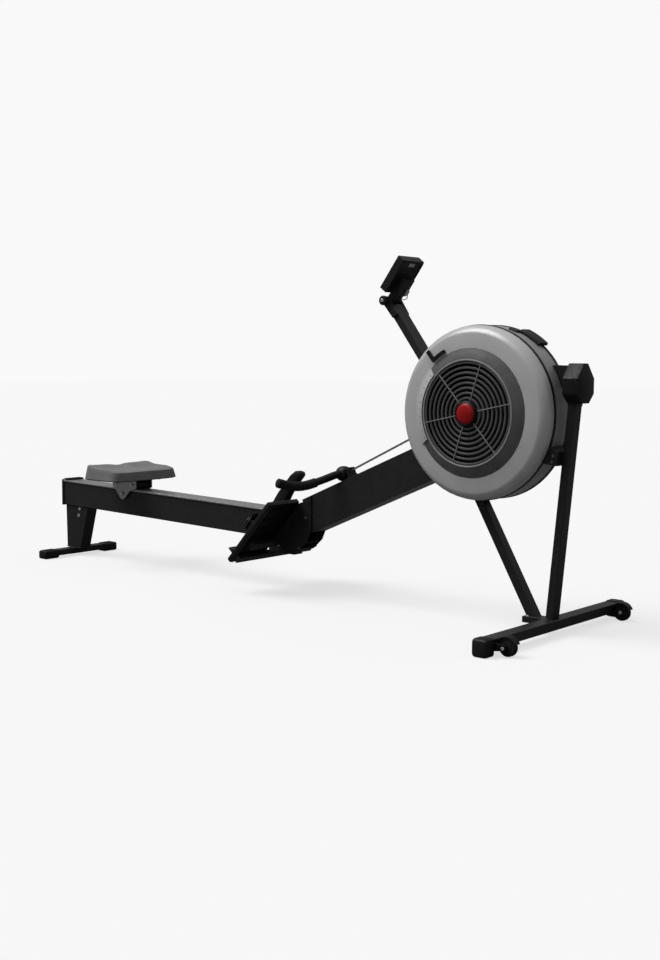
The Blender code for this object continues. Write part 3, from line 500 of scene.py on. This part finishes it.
def seat():
    around, bottom = 128, 0.3305
    skirt = ((0.900, 1.000), (0.922, 0.985), (0.936, 0.945), (0.944, 0.880), (0.960, 0.640),
             (0.978, 0.360), (0.992, 0.130),
             (0.998, 0.060), (0.995, 0.020), (0.985, 0.0), (0.800, 0.0))
    shape = Shape()
    rings = []
    for s, share in [(s, 1.0) for s in (0.14, 0.28, 0.42, 0.54, 0.64, 0.72, 0.79, 0.85)] + list(skirt):
        ring = []
        for k in range(around):
            x, y = seat_outline(math.tau * k / around)
            x, y = x * s, y * s
            ring.append(at(SEAT_X + x, y, bottom + (seat_height(x, y) - bottom) * share))
        rings.append(ring)
    shape.loft(rings, caps=True)
    shape.faces = [f for f in shape.faces if len(f) == 4]
    hub = len(shape.verts)
    shape.verts.append(at(SEAT_X, 0, seat_height(0, 0)))
    shape.faces += [(hub, (k + 1) % around, k) for k in range(around)]
    last = (len(rings) - 1) * around
    shape.faces.append(tuple(last + k for k in range(around)))
    cushion = shape.make("seat_cushion", FOAM, "seat", "seat_foam", angle=60)
    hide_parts("seat_pad")

    pan = Shape()
    rings = []
    for s, z in ((0.80, 0.3282), (0.955, 0.3282), (0.975, 0.3300), (0.975, 0.3325), (0.90, 0.3325)):
        outline = [seat_outline(math.tau * k / 64) for k in range(64)]
        rings.append([at(SEAT_X + x * s, y * s, z) for x, y in outline])
    pan.loft(rings, closed=True)
    pan.make("seat_pan", PLASTIC, "seat", "black_plastic")

    bolts = Shape()
    for x in (-1.915, -1.824):
        z = rail_z(x) + 0.0701
        for side in (-1, 1):
            bolts.nut(at(x, side * 0.0413, z), (0, side, 0), 0.0062, 0.0050)
    for side in (-1, 1):
        bolts.nut(at(-1.880, side * 0.0450, rail_z(-1.880) + 0.0337), (0, side, 0), 0.0052, 0.0040)
    for x in (-1.937, -1.806):
        for y in (-0.075, 0.075):
            bolts.bolt(at(x + 0.004, y, 0.3281), (0, 0, -1), 0.0058, 0.0035)
    bolts.make("carriage_bolts", BOLT_STEEL, "seat", "plain_steel")


# ---------------------------------------------------------------- rail and rear end
def rail_details():
    lips = Shape()
    for side in (-1, 1):
        points = [at(x, side * 0.0352, rail_z(x) + 0.0503) for x in (-2.252, -1.130)]
        lips.tube(points, 0.0012, 10)
    lips.make("track_lips", STEEL, "frame", "plain_steel")

    bolts = Shape()
    for x, z in ((-2.165, 0.1885), (-2.172, 0.1620)):
        for side in (-1, 1):
            bolts.nut(at(x, side * 0.0240, z), (0, side, 0), 0.0050, 0.0050)
    for y in (-0.012, 0.012):
        bolts.bolt(at(-0.0800, y, 0.0460), (0, 0, 1), 0.0068, 0.0045)
    cap_x = -2.2693
    for z in (0.030, -0.030):
        bolts.bolt(at(cap_x, 0, rail_z(-2.2634) + z), (-1, 0, 0), 0.0046, 0.0022)
    bolts.make("frame_bolts", BOLT_STEEL, "frame", "plain_steel")
    joint = Shape()
    cheek_bolts = ((-0.9300, 0.0405, 0.2620), (-0.9610, 0.0405, 0.1580))
    bracket_bolts = ((0.0146, 0.0450, 0.5200), (0.0110, 0.0450, 0.5020))
    for x, y, z in cheek_bolts + bracket_bolts:
        for side in (-1, 1):
            joint.nut(at(x, side * y, z), (0, side, 0), 0.0040, 0.0048)
    joint.make("joint_bolts", GUARD_GREY, "frame", "plain_steel")

    foot = Shape()
    for side in (-1, 1):
        centre = at(-2.208, side * 0.1441, 0.0165)
        for i in range(5):
            x = centre.x + (i - 2) * 0.0080
            foot.block((0.0024, 0.050, 0.0010), (x, centre.y, 0.0332), None, 0.0003)
    foot.make("rear_foot_treads", RUBBER, "frame", "rubber")
    welds = Shape()
    for side in (-1, 1):
        points = [at(x, side * 0.0246, 0.0318) for x in (-2.249, -2.164)]
        welds.tube(points, 0.0016, 8)
    for x in (-2.2495, -2.1635):
        welds.tube([at(x, y, 0.0318) for y in (-0.024, 0.024)], 0.0016, 8)
    welds.make("rear_leg_weld", PAINT, "frame", "frame_paint")


# ---------------------------------------------------------------- footrests
def footrest_details():
    for side, suffix in ((-1, "near"), (1, "far")):
        mid = side * FOOT_MID_Y
        ribs = Shape()
        underside = -FOOTPLATE_THICK - 0.0026
        for along in (0.030, 0.075, 0.120, 0.165, 0.210, 0.255):
            ribs.block((0.0035, 0.132, 0.0060), on_plate(along, underside, mid), PLATE_BASIS, 0.0010)
        for y in (-0.068, 0.0, 0.068):
            ribs.block((0.268, 0.0035, 0.0060), on_plate(0.140, underside, mid + y), PLATE_BASIS, 0.0010)
        ribs.make("footplate_ribs_" + suffix, PLASTIC, "frame", "black_plastic")
        treads = Shape()
        for i in range(9):
            treads.block((0.0045, 0.118, 0.0016), on_plate(0.186 + i * 0.0105, 0.0006, mid), PLATE_BASIS,
                         0.0006)
        treads.make("foot_treads_" + suffix, RUBBER, "frame", "rubber")
        heel = Shape()
        for i in range(3):
            heel.block((0.058, 0.0040, 0.0012), on_plate(0.084, 0.0046, mid + (i - 1) * 0.020),
                       PLATE_BASIS, 0.0004)
        for y in (-0.0415, 0.0415):
            heel.block((0.120, 0.0028, 0.0070), on_plate(0.066, 0.0040, mid + y), PLATE_BASIS, 0.0010)
        heel.make("heel_ridges_" + suffix, PLASTIC, "heel_cup_" + suffix, "black_plastic")
        strap(side, mid, suffix)


def strap(side, mid, suffix):
    """The webbing over the foot, with a cam buckle on its outer side."""
    half, height, thick, wide = 0.0605, 0.0465, 0.0022, 0.034
    line = []
    for i in range(29):
        t = math.pi * i / 28
        line.append((half * math.cos(t), 0.0006 + height * math.sin(t) ** 0.92))
    shape = Shape()
    rings = []
    for i, (y, out) in enumerate(line):
        a, b = line[max(i - 1, 0)], line[min(i + 1, len(line) - 1)]
        way = Vector((b[0] - a[0], b[1] - a[1])).normalized()
        normal = Vector((-way.y, way.x))
        sway = 0.0022 * math.sin(i * 0.42 + side)
        ring = []
        for along, offset in ((-wide / 2, 0.3), (-wide / 2 + 0.002, 1), (0, 1.05), (wide / 2 - 0.002, 1),
                              (wide / 2, 0.3),
                              (wide / 2, -0.3), (wide / 2 - 0.002, -1), (0, -1.05),
                              (-wide / 2 + 0.002, -1),
                              (-wide / 2, -0.3)):
            place = Vector((y, out)) + normal * offset * thick / 2
            ring.append(on_plate(STRAP_ALONG + along + sway, max(place.y, 0.0003), mid + place.x))
        rings.append(ring)
    shape.loft(rings)
    band = shape.make("foot_strap_webbing_" + suffix, WEBBING, "frame", "webbing", angle=50)
    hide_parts("foot_strap_" + suffix)
    buckle = Shape()
    outer_y = mid + side * 0.0555
    tilt = Matrix.Rotation(-side * math.radians(62), 3, "X")
    place = on_plate(STRAP_ALONG, 0.0250, outer_y + side * 0.0040)
    buckle.block((0.040, 0.022, 0.0050), place, PLATE_BASIS @ tilt, 0.0014)
    place = on_plate(STRAP_ALONG, 0.0290, outer_y + side * 0.0050)
    buckle.block((0.030, 0.012, 0.0060), place, PLATE_BASIS @ tilt, 0.0020)
    buckle.make("strap_buckle_" + suffix, PLASTIC, "frame", "black_plastic")


# ---------------------------------------------------------------- handle, chain and guide
def handle_line(start, end, spans):
    line = []
    for i in range(spans + 1):
        y = start + (end - start) * i / spans
        spread = abs(y)
        sweep = 3.0 * min(spread, 0.10) ** 2 + 0.38 * max(spread - 0.10, 0)
        dip = 0.018 * (1 - math.cos(math.pi * spread / 0.16))
        line.append(at(HANDLE_X - sweep, y, HANDLE_Z - dip + 0.002))
    return line


def handle():
    bar = Shape().tube(handle_line(-0.1140, 0.1140, 40), 0.0125, 24)
    profile = [(0, 0.0215), (0.0088, 0.0213), (0.0154, 0.0203), (0.0204, 0.0170), (0.0233, 0.0120),
               (0.0248, 0.0050),
               (0.0248, -0.0070), (0.0233, -0.0130), (0.0198, -0.0185), (0.0132, -0.0218), (0, -0.0225)]
    bar.turned(profile, at(HANDLE_X, 0, HANDLE_Z), (1, 0, 0.1), 48)
    solid = bar.make("handle_core", PLASTIC, "handle", "black_plastic")
    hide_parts("handle_bar")
    for side, suffix in ((-1, "near"), (1, "far")):
        points = handle_line(side * 0.1000, side * 0.2320, 64)
        radii = []
        for i in range(65):
            ends = min(i, 64 - i)
            body = 0.0150 + (0.0006 if (i // 2) % 2 else 0.0)
            radii.append(body - (0.0045 if ends == 0 else 0.0015 if ends == 1 else 0.0))
        grip = Shape().tube(points, radii, 28)
        piece = grip.make("handle_sleeve_" + suffix, GRIP, "handle", "rubber", angle=60)
        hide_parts("handle_grip_" + suffix)
    swivel = Shape()
    profile = [(0, 0), (0.0062, 0), (0.0062, 0.0060), (0.0045, 0.0100), (0, 0.0100)]
    swivel.turned(profile, at(-0.7790, 0, 0.4178), (1, 0, 0.35), 24)
    swivel.make("chain_swivel", STEEL, "handle", "plain_steel")


CHAIN_RADIUS = 0.038
CHAIN_START = (-0.7730, 0.4254)
CHAIN_RISE = math.atan2(WHEEL_Z - CHAIN_START[1], WHEEL_X - CHAIN_START[0]) + math.asin(
    CHAIN_RADIUS / math.dist(CHAIN_START, (WHEEL_X, WHEEL_Z)))


def chain_route():
    """Points along the chain a link apart, from its guide over the sprocket into the beam."""
    pitch = 0.0095
    start = Vector(CHAIN_START)
    top = math.pi / 2 + CHAIN_RISE
    tangent = Vector((WHEEL_X + CHAIN_RADIUS * math.cos(top), WHEEL_Z + CHAIN_RADIUS * math.sin(top)))
    leave = math.radians(-60)
    straight = (tangent - start).length
    wrap = (top - leave) * CHAIN_RADIUS
    end = Vector((WHEEL_X + CHAIN_RADIUS * math.cos(leave), WHEEL_Z + CHAIN_RADIUS * math.sin(leave)))
    fall = Vector((-math.cos(math.radians(30)), -math.sin(math.radians(30))))
    points = []
    for i in range(int((straight + wrap + 0.380) / pitch)):
        s = i * pitch
        if s < straight:
            p = start.lerp(tangent, s / straight)
        elif s < straight + wrap:
            angle = top - (s - straight) / CHAIN_RADIUS
            p = Vector((WHEEL_X + CHAIN_RADIUS * math.cos(angle),
                        WHEEL_Z + CHAIN_RADIUS * math.sin(angle)))
        else:
            p = end + fall * (s - straight - wrap)
        points.append(p)
    return points


def chain():
    shape = Shape()
    points = chain_route()
    for i, (a, b) in enumerate(zip(points, points[1:])):
        way = (b - a).normalized()
        normal = Vector((-way.y, way.x))
        middle = (a + b) / 2
        half = (b - a).length / 2
        loop = []
        for end in (1, -1):
            for k in range(5):
                angle = math.radians(-90 + 45 * k)
                along, across = half + 0.0027 * math.cos(angle), 0.0027 * math.sin(angle)
                step = way * end * along + normal * end * across
                loop.append(middle + step)
        offset = 0.0017 if i % 2 else 0.0027
        for side in (-1, 1):
            y = side * offset
            shape.prism([(p.x, p.y) for p in loop], y - 0.0004, y + 0.0004)
        shape.turned([(0, -0.0015), (0.0021, -0.0015), (0.0021, 0.0015), (0, 0.0015)], at(a.x, 0, a.y),
                     (0, 1, 0), 10)
    links = shape.make("chain_links", CHAIN_STEEL, "frame", "plain_steel")
    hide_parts("drive_chain")

    start, end = at(-0.7640, 0, 0.4297), at(-0.7730, 0, 0.4222)
    points = [start.lerp(end, i / 60) for i in range(61)]
    strand = Shape().tube(points, [0.0021 + 0.0004 * (i % 2) for i in range(61)], 10, flat=1.15)
    strand = strand.make("chain_strand", CHAIN_STEEL, None, "plain_steel", angle=80)
    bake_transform(strand)


# ---------------------------------------------------------------- housing
def guard():
    """The guard over the intake: thin rings under six spokes, a brighter edge and the hub's collar."""
    shape = Shape()
    count, first, pitch, bar = 8, 0.0415, 0.0147, 0.0066
    for i in range(count):
        inner = first + i * pitch
        outer = inner + bar
        profile = [(inner, -0.0018), (inner, 0.0012), (inner + 0.0012, 0.0024), (outer - 0.0012, 0.0024),
                   (outer, 0.0012),
                   (outer, -0.0018)]
        shape.turned(profile, polar(0, 0, -GUARD_FACE - 0.0012), (0, -1, 0), 96)
    spokes = Shape()
    for i in range(6):
        angle = math.radians(12 + 60 * i)
        way = Vector((math.cos(angle), 0, math.sin(angle)))
        up = Vector((-math.sin(angle), 0, math.cos(angle)))
        basis = Matrix((way, Vector((0, 1, 0)), up)).transposed()
        centre = polar(0, 0, -GUARD_FACE - 0.0026) + way * 0.0940
        spokes.block((0.116, 0.0044, 0.0026), centre, basis, 0.0008)
    grille = shape.make("intake_grille", GUARD_GREY, "frame", "black_plastic")
    spokes.make("grille_spokes", MID_GREY, "frame", "black_plastic")
    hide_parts("intake_guard")
    edge = Shape()
    profile = [(0.1522, 0.1036), (0.1528, 0.1050), (0.1542, 0.1058), (0.1560, 0.1058), (0.1574, 0.1050),
               (0.1580, 0.1032)]
    edge.turned(profile, polar(0, 0, 0), (0, -1, 0), 128)
    edge.make("grille_edge", MID_GREY, "frame", "black_plastic")
    hub = Shape()
    hub.turned([(0.0316, 0.0088), (0.0324, 0.0102), (0.0345, 0.0090), (0.0372, 0.0045), (0.0386, -0.0010),
                (0.0340, -0.0010)],
               polar(0, 0, -HUB_FACE), (0, -1, 0), 64)
    hub.make("hub_collar", PLASTIC, "frame", "black_plastic")


def arc_block(shape, inner, outer, start, stop, y0, y1, steps=10, chamfer=0.002):
    """A block bent round the axle."""
    rings = []
    for i in range(steps + 1):
        angle = start + (stop - start) * i / steps
        loop = [(inner, y0), (outer - chamfer, y0), (outer, y0 + chamfer), (outer, y1 - chamfer),
                (outer - chamfer, y1),
                (inner, y1)]
        rings.append([polar(r, angle, y) for r, y in loop])
    return shape.loft(rings)


def housing_details():
    saddle = Shape()
    arc_block(saddle, 0.2574, 0.2680, 50, 66, 0.010, 0.060, 12, 0.005)
    arc_block(saddle, 0.2574, 0.2620, 66, 72, -0.010, 0.020, 6, 0.002)
    saddle.make("rim_saddle", PLASTIC, "frame", "black_plastic")
    lip = Shape()
    arc_block(lip, 0.2576, 0.2604, 119, 131, -0.034, -0.010, 8, 0.001)
    lip.make("rim_catch", MID_GREY, "frame", "black_plastic")
    seam = Shape()
    for y, radius in ((-0.0382, 0.2584), (0.0382, 0.2584)):
        seam.turned([(radius - 0.0030, -0.0052), (radius + 0.0004, -0.0046), (radius + 0.0004, 0.0046),
                     (radius - 0.0030, 0.0052)], polar(0, 0, y), (0, 1, 0), 128)
    seam.make("rim_seams", PLASTIC, "frame", "black_plastic")
    ticks = Shape()
    for i in range(10):
        angle = 141 + i * 7.3
        radial = Vector((math.cos(math.radians(angle)), 0, math.sin(math.radians(angle))))
        round_ = Vector((-radial.z, 0, radial.x))
        slope = 0.0100 / 0.0180
        out = Vector((0, -1, 0))
        face = (out + radial * slope).normalized()
        run = face.cross(round_).normalized()
        basis = Matrix((run, round_, face)).transposed()
        ticks.block((0.0080, 0.0014, 0.0006), polar(0.1715, angle, 0) + out * 0.1007, basis, 0.0001)
    ticks.make("damper_ticks", PLASTIC, "frame", "black_plastic")


# ---------------------------------------------------------------- front end
def front_details():
    axle_x, axle_y, axle_z = WHEEL_AXLE
    for suffix, side in (("near", -1), ("far", 1)):
        tyre = Shape()
        centre = at(axle_x, side * axle_y, axle_z)
        profile = [(0.0046, 0.0100), (0.0150, 0.0100), (0.0165, 0.0088), (0.0185, 0.0088),
                   (0.0200, 0.0100), (0.0232, 0.0100),
                   (0.0252, 0.0078), (0.0258, 0.0040), (0.0248, 0.0026), (0.0248, -0.0026),
                   (0.0258, -0.0040),
                   (0.0252, -0.0078), (0.0232, -0.0100), (0.0200, -0.0100), (0.0185, -0.0088),
                   (0.0165, -0.0088),
                   (0.0150, -0.0100), (0.0046, -0.0100)]
        tyre.turned(profile, centre, (0, 1, 0), 56)
        piece = tyre.make("wheel_tyre_" + suffix, RUBBER, "transport_wheel_" + suffix, "rubber")
        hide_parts("transport_wheel_" + suffix)
        hub = Shape()
        hub.bolt(centre + Vector((0, -side * 0.0128, 0)), (0, -side, 0), 0.0062, 0.0040)
        hub.bolt(centre + Vector((0, side * 0.0279, 0)), (0, side, 0), 0.0052, 0.0036)
        hub.make("wheel_bolt_" + suffix, BOLT_STEEL, "frame", "plain_steel")
        cover = Shape()
        rings = []
        for i in range(15):
            angle = math.radians(20 + 150 * i / 14)
            loop = []
            for radius, y in ((0.0290, -0.0130), (0.0310, -0.0120), (0.0316, 0.0), (0.0310, 0.0120),
                              (0.0290, 0.0130)):
                loop.append(centre + Vector((radius * math.cos(angle), y, radius * math.sin(angle))))
            rings.append(loop)
        cover.loft(rings)
        end_foot(suffix, side)
        cover.make("wheel_cover_" + suffix, PLASTIC, "frame", "black_plastic")
    collar = Shape().block((0.0270, 0.0370, 0.0115), at(UPRIGHT_TOP_X, 0, 0.6655), None, 0.001)
    collar.make("upright_collar", PLASTIC, "frame", "black_plastic")


def end_foot(suffix, side):
    """The end foot: a rounded moulding, and the arm that carries the wheel's pin."""
    shape = Shape()
    inner, outer = 0.3423, 0.3797
    rings = []
    for y, grow in ((inner, 0.92), (inner + 0.002, 1.0), (outer - 0.012, 1.0), (outer - 0.005, 0.95),
                    (outer - 0.0015, 0.86), (outer, 0.72)):
        loop = []
        for k in range(32):
            angle = math.tau * k / 32
            cos, sin = math.cos(angle), math.sin(angle)
            reach = (abs(cos) ** 6 + abs(sin) ** 6) ** (-1 / 6)
            x = 0.0258 * reach * cos * grow
            z = 0.0258 + 0.0258 * reach * sin * (grow if sin > 0 else 1.0 - (1 - grow) * 0.4)
            loop.append(at(x, side * y, max(z, 0.0)))
        rings.append(loop)
    shape.loft(rings)
    arm = [(0.0200, 0.0150), (0.0460, 0.0195), (0.0550, 0.0205), (0.0570, 0.0262), (0.0550, 0.0320),
           (0.0460, 0.0330),
           (0.0200, 0.0380)]
    shape.prism(arm, side * 0.3270, side * 0.3400)
    shape.tube([at(WHEEL_AXLE[0], side * y, WHEEL_AXLE[2]) for y in (0.3001, 0.3330)], 0.0040, 16)
    piece = shape.make("end_foot_" + suffix, PLASTIC, "frame", "black_plastic")
    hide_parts("front_foot_" + suffix)


# ---------------------------------------------------------------- console and arm
def console_details():
    bezel = Shape()
    face = 0.0300
    for a, y, la, ly in ((0.1400, 0, 0.0070, 0.0960), (0.0340, 0, 0.0070, 0.0960),
                         (0.0870, 0.0465, 0.1100, 0.0060),
                         (0.0870, -0.0465, 0.1100, 0.0060)):
        bezel.block((la, ly, 0.0022), on_console(a, face + 0.0010, y), CONSOLE_BASIS, 0.0008)
    bezel.make("console_bezel", PLASTIC, "console", "black_plastic")
    screen = Shape()
    screen.block((0.0560, 0.0780, 0.0018), on_console(0.1020, face + 0.0006), CONSOLE_BASIS, 0.0005)
    screen.make("console_screen", SCREEN, "console", "black_plastic")
    frame_edge = Shape()
    for a, y, la, ly in ((0.1320, 0, 0.0030, 0.0860), (0.0720, 0, 0.0030, 0.0860),
                         (0.1020, 0.0415, 0.0600, 0.0030),
                         (0.1020, -0.0415, 0.0600, 0.0030)):
        frame_edge.block((la, ly, 0.0026), on_console(a, face + 0.0012, y), CONSOLE_BASIS, 0.0008)
    frame_edge.make("screen_frame", MID_GREY, "console", "black_plastic")

    back = 0.0040
    rim = Shape()
    for a, y, la, ly in ((0.1425, 0, 0.0060, 0.1000), (0.0870, 0.0490, 0.1080, 0.0050),
                         (0.0870, -0.0490, 0.1080, 0.0050)):
        rim.block((la, ly, 0.0040), on_console(a, back - 0.0010, y), CONSOLE_BASIS, 0.0014)
    for i in range(4):
        rim.block((0.0020, 0.0700, 0.0016), on_console(0.1000 + i * 0.0055, back - 0.0003), CONSOLE_BASIS,
                  0.0004)
    rim.make("console_back_rim", PLASTIC, "console", "black_plastic")
    plate = Shape()
    plate.block((0.0120, 0.0260, 0.0012), on_console(0.1310, back - 0.0004), CONSOLE_BASIS, 0.0004)
    plate.make("console_back_plate", LIGHT_GREY, "console", "black_plastic")
    lid = Shape()
    lid.block((0.0500, 0.0460, 0.0016), on_console(0.0600, -0.0176), CONSOLE_BASIS, 0.0006)
    lid.block((0.0060, 0.0160, 0.0020), on_console(0.0870, -0.0178), CONSOLE_BASIS, 0.0006)
    lid.make("battery_lid", CONSOLE_PLASTIC, "console", "black_plastic")
    plug = Shape()
    plug.block((0.0180, 0.0110, 0.0090), on_console(0.0470, -0.0215, 0.0170), CONSOLE_BASIS, 0.0016)
    plug.make("console_plug", LIGHT_GREY, "console", "black_plastic")

    knob = Shape()
    rings = []
    for height, radius in ((0.0, 0.0128), (0.0020, 0.0150), (0.0095, 0.0155), (0.0120, 0.0138),
                           (0.0130, 0.0110)):
        ring = []
        for k in range(72):
            angle = math.tau * k / 72
            lobe = radius * (1 - 0.055 * (0.5 + 0.5 * math.cos(12 * angle)))
            x, z = ARM_TOP[0] + lobe * math.cos(angle), ARM_TOP[1] + lobe * math.sin(angle)
            ring.append(at(x, -0.0363 - height, z))
        rings.append(ring)
    knob.loft(rings)
    piece = knob.make("knob_grip", PLASTIC, "tilt_knob", "black_plastic")
    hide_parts("tilt_knob")
    centre = Shape()
    centre.bolt(at(ARM_TOP[0], -0.0492, ARM_TOP[1]), (0, -1, 0), 0.0060, 0.0030)
    centre.make("knob_bolt", BOLT_STEEL, "tilt_knob", "plain_steel")
    shaft = Shape()
    shaft.tube([at(ARM_TOP[0], y, ARM_TOP[1]) for y in (-0.0362, -0.0321)], 0.0060, 20)
    profile = [(0, 0), (0.0085, 0), (0.0085, 0.0035), (0.0070, 0.0050), (0, 0.0050)]
    shaft.turned(profile, at(ARM_TOP[0], 0.0321, ARM_TOP[1]), (0, 1, 0), 6)
    shaft.make("tilt_bolt", BOLT_STEEL, "monitor_arm", "plain_steel")
    pivot_bolt = Shape()
    for side in (-1, 1):
        pivot_bolt.tube([at(-0.4460, side * y, 0.7635) for y in (0.0252, 0.0352)], 0.0070, 20)
    pivot_bolt.make("arm_pivot_bolt", BOLT_STEEL, "frame", "plain_steel")


# ---------------------------------------------------------------- studio
def cleared(tree):
    """A tree's own nodes removed, with the calls that add a node and a link."""
    tree.nodes.clear()
    return tree.nodes.new, tree.links.new


def floor():
    """A pale floor. Seen by the camera it meets the backdrop's white, and it throws less light back up."""
    size = 30
    corners = [(-size, -size, 0), (size, -size, 0), (size, size, 0), (-size, size, 0)]
    mesh = bpy.data.meshes.new("studio_floor")
    mesh.from_pydata(corners, [], [(0, 1, 2, 3)])
    plane = bpy.data.objects.new("studio_floor", mesh)
    bpy.context.scene.collection.objects.link(plane)
    look = bpy.data.materials.new("floor_look")
    look.use_nodes = True
    new, join = cleared(look.node_tree)
    lit = new("ShaderNodeBsdfDiffuse")
    glow = new("ShaderNodeEmission")
    seen = new("ShaderNodeAddShader")
    bounce = new("ShaderNodeBsdfDiffuse")
    pick = new("ShaderNodeMixShader")
    path = new("ShaderNodeLightPath")
    end = new("ShaderNodeOutputMaterial")
    lit.inputs["Color"].default_value = (FLOOR_SHADE, FLOOR_SHADE, FLOOR_SHADE, 1)
    glow.inputs["Strength"].default_value = FLOOR_GLOW
    bounce.inputs["Color"].default_value = (FLOOR_BOUNCE, FLOOR_BOUNCE, FLOOR_BOUNCE, 1)
    join(lit.outputs[0], seen.inputs[0])
    join(glow.outputs[0], seen.inputs[1])
    join(path.outputs["Is Camera Ray"], pick.inputs["Fac"])
    join(bounce.outputs[0], pick.inputs[1])
    join(seen.outputs[0], pick.inputs[2])
    join(pick.outputs[0], end.inputs["Surface"])
    mesh.materials.append(look)


def backdrop():
    """A sky that is brighter overhead, with plain white behind the object."""
    world = bpy.data.worlds.new("studio")
    bpy.context.scene.world = world
    world.use_nodes = True
    new, join = cleared(world.node_tree)
    place = new("ShaderNodeTexCoord")
    split = new("ShaderNodeSeparateXYZ")
    rise = new("ShaderNodeMapRange")
    sky = new("ShaderNodeBackground")
    white = new("ShaderNodeBackground")
    pick = new("ShaderNodeMixShader")
    path = new("ShaderNodeLightPath")
    end = new("ShaderNodeOutputWorld")
    rise.inputs["From Min"].default_value = 0.0
    rise.inputs["From Max"].default_value = 1.0
    rise.inputs["To Min"].default_value = SKY_LOW
    rise.inputs["To Max"].default_value = SKY_HIGH
    white.inputs["Color"].default_value = (1, 1, 1, 1)
    white.inputs["Strength"].default_value = BACKDROP_WHITE
    join(place.outputs["Generated"], split.inputs[0])
    join(split.outputs["Z"], rise.inputs["Value"])
    join(rise.outputs["Result"], sky.inputs["Strength"])
    join(path.outputs["Is Camera Ray"], pick.inputs["Fac"])
    join(sky.outputs[0], pick.inputs[1])
    join(white.outputs[0], pick.inputs[2])
    join(pick.outputs[0], end.inputs["Surface"])


def soft_key():
    """A broad light from above, behind the camera's left shoulder."""
    light = bpy.data.lights.new("soft_key", "SUN")
    light.energy = KEY_POWER
    light.angle = KEY_WIDTH
    key = bpy.data.objects.new("soft_key", light)
    key.rotation_euler = Vector(KEY_WAY).to_track_quat("-Z", "Y").to_euler()
    bpy.context.scene.collection.objects.link(key)
    bpy.context.scene.view_settings.view_transform = "Standard"


def camera():
    yaw, pitch, roll = math.radians(41.28), math.radians(4.71), math.radians(0.22)
    forward = Vector((-math.sin(yaw) * math.cos(pitch), math.cos(yaw) * math.cos(pitch),
                      -math.sin(pitch)))
    right = Vector((math.cos(yaw), math.sin(yaw), 0))
    up = right.cross(forward)
    turned_right = right * math.cos(roll) + up * math.sin(roll)
    turned_up = up * math.cos(roll) - right * math.sin(roll)
    data = bpy.data.cameras.new("camera")
    data.lens = 47.03
    data.shift_x = -0.001
    data.shift_y = -0.0194
    data.clip_end = 200
    thing = bpy.data.objects.new("camera", data)
    matrix = Matrix((turned_right, turned_up, -forward)).transposed().to_4x4()
    matrix.translation = at(1.863, -3.097, 0.792)
    thing.matrix_world = matrix
    bpy.context.scene.collection.objects.link(thing)
    bpy.context.scene.camera = thing


camera()
floor()
backdrop()
soft_key()
finish_nodes()
seat()
rail_details()
footrest_details()
handle()
chain()
guard()
housing_details()
front_details()
console_details()

bpy.context.view_layer.update()
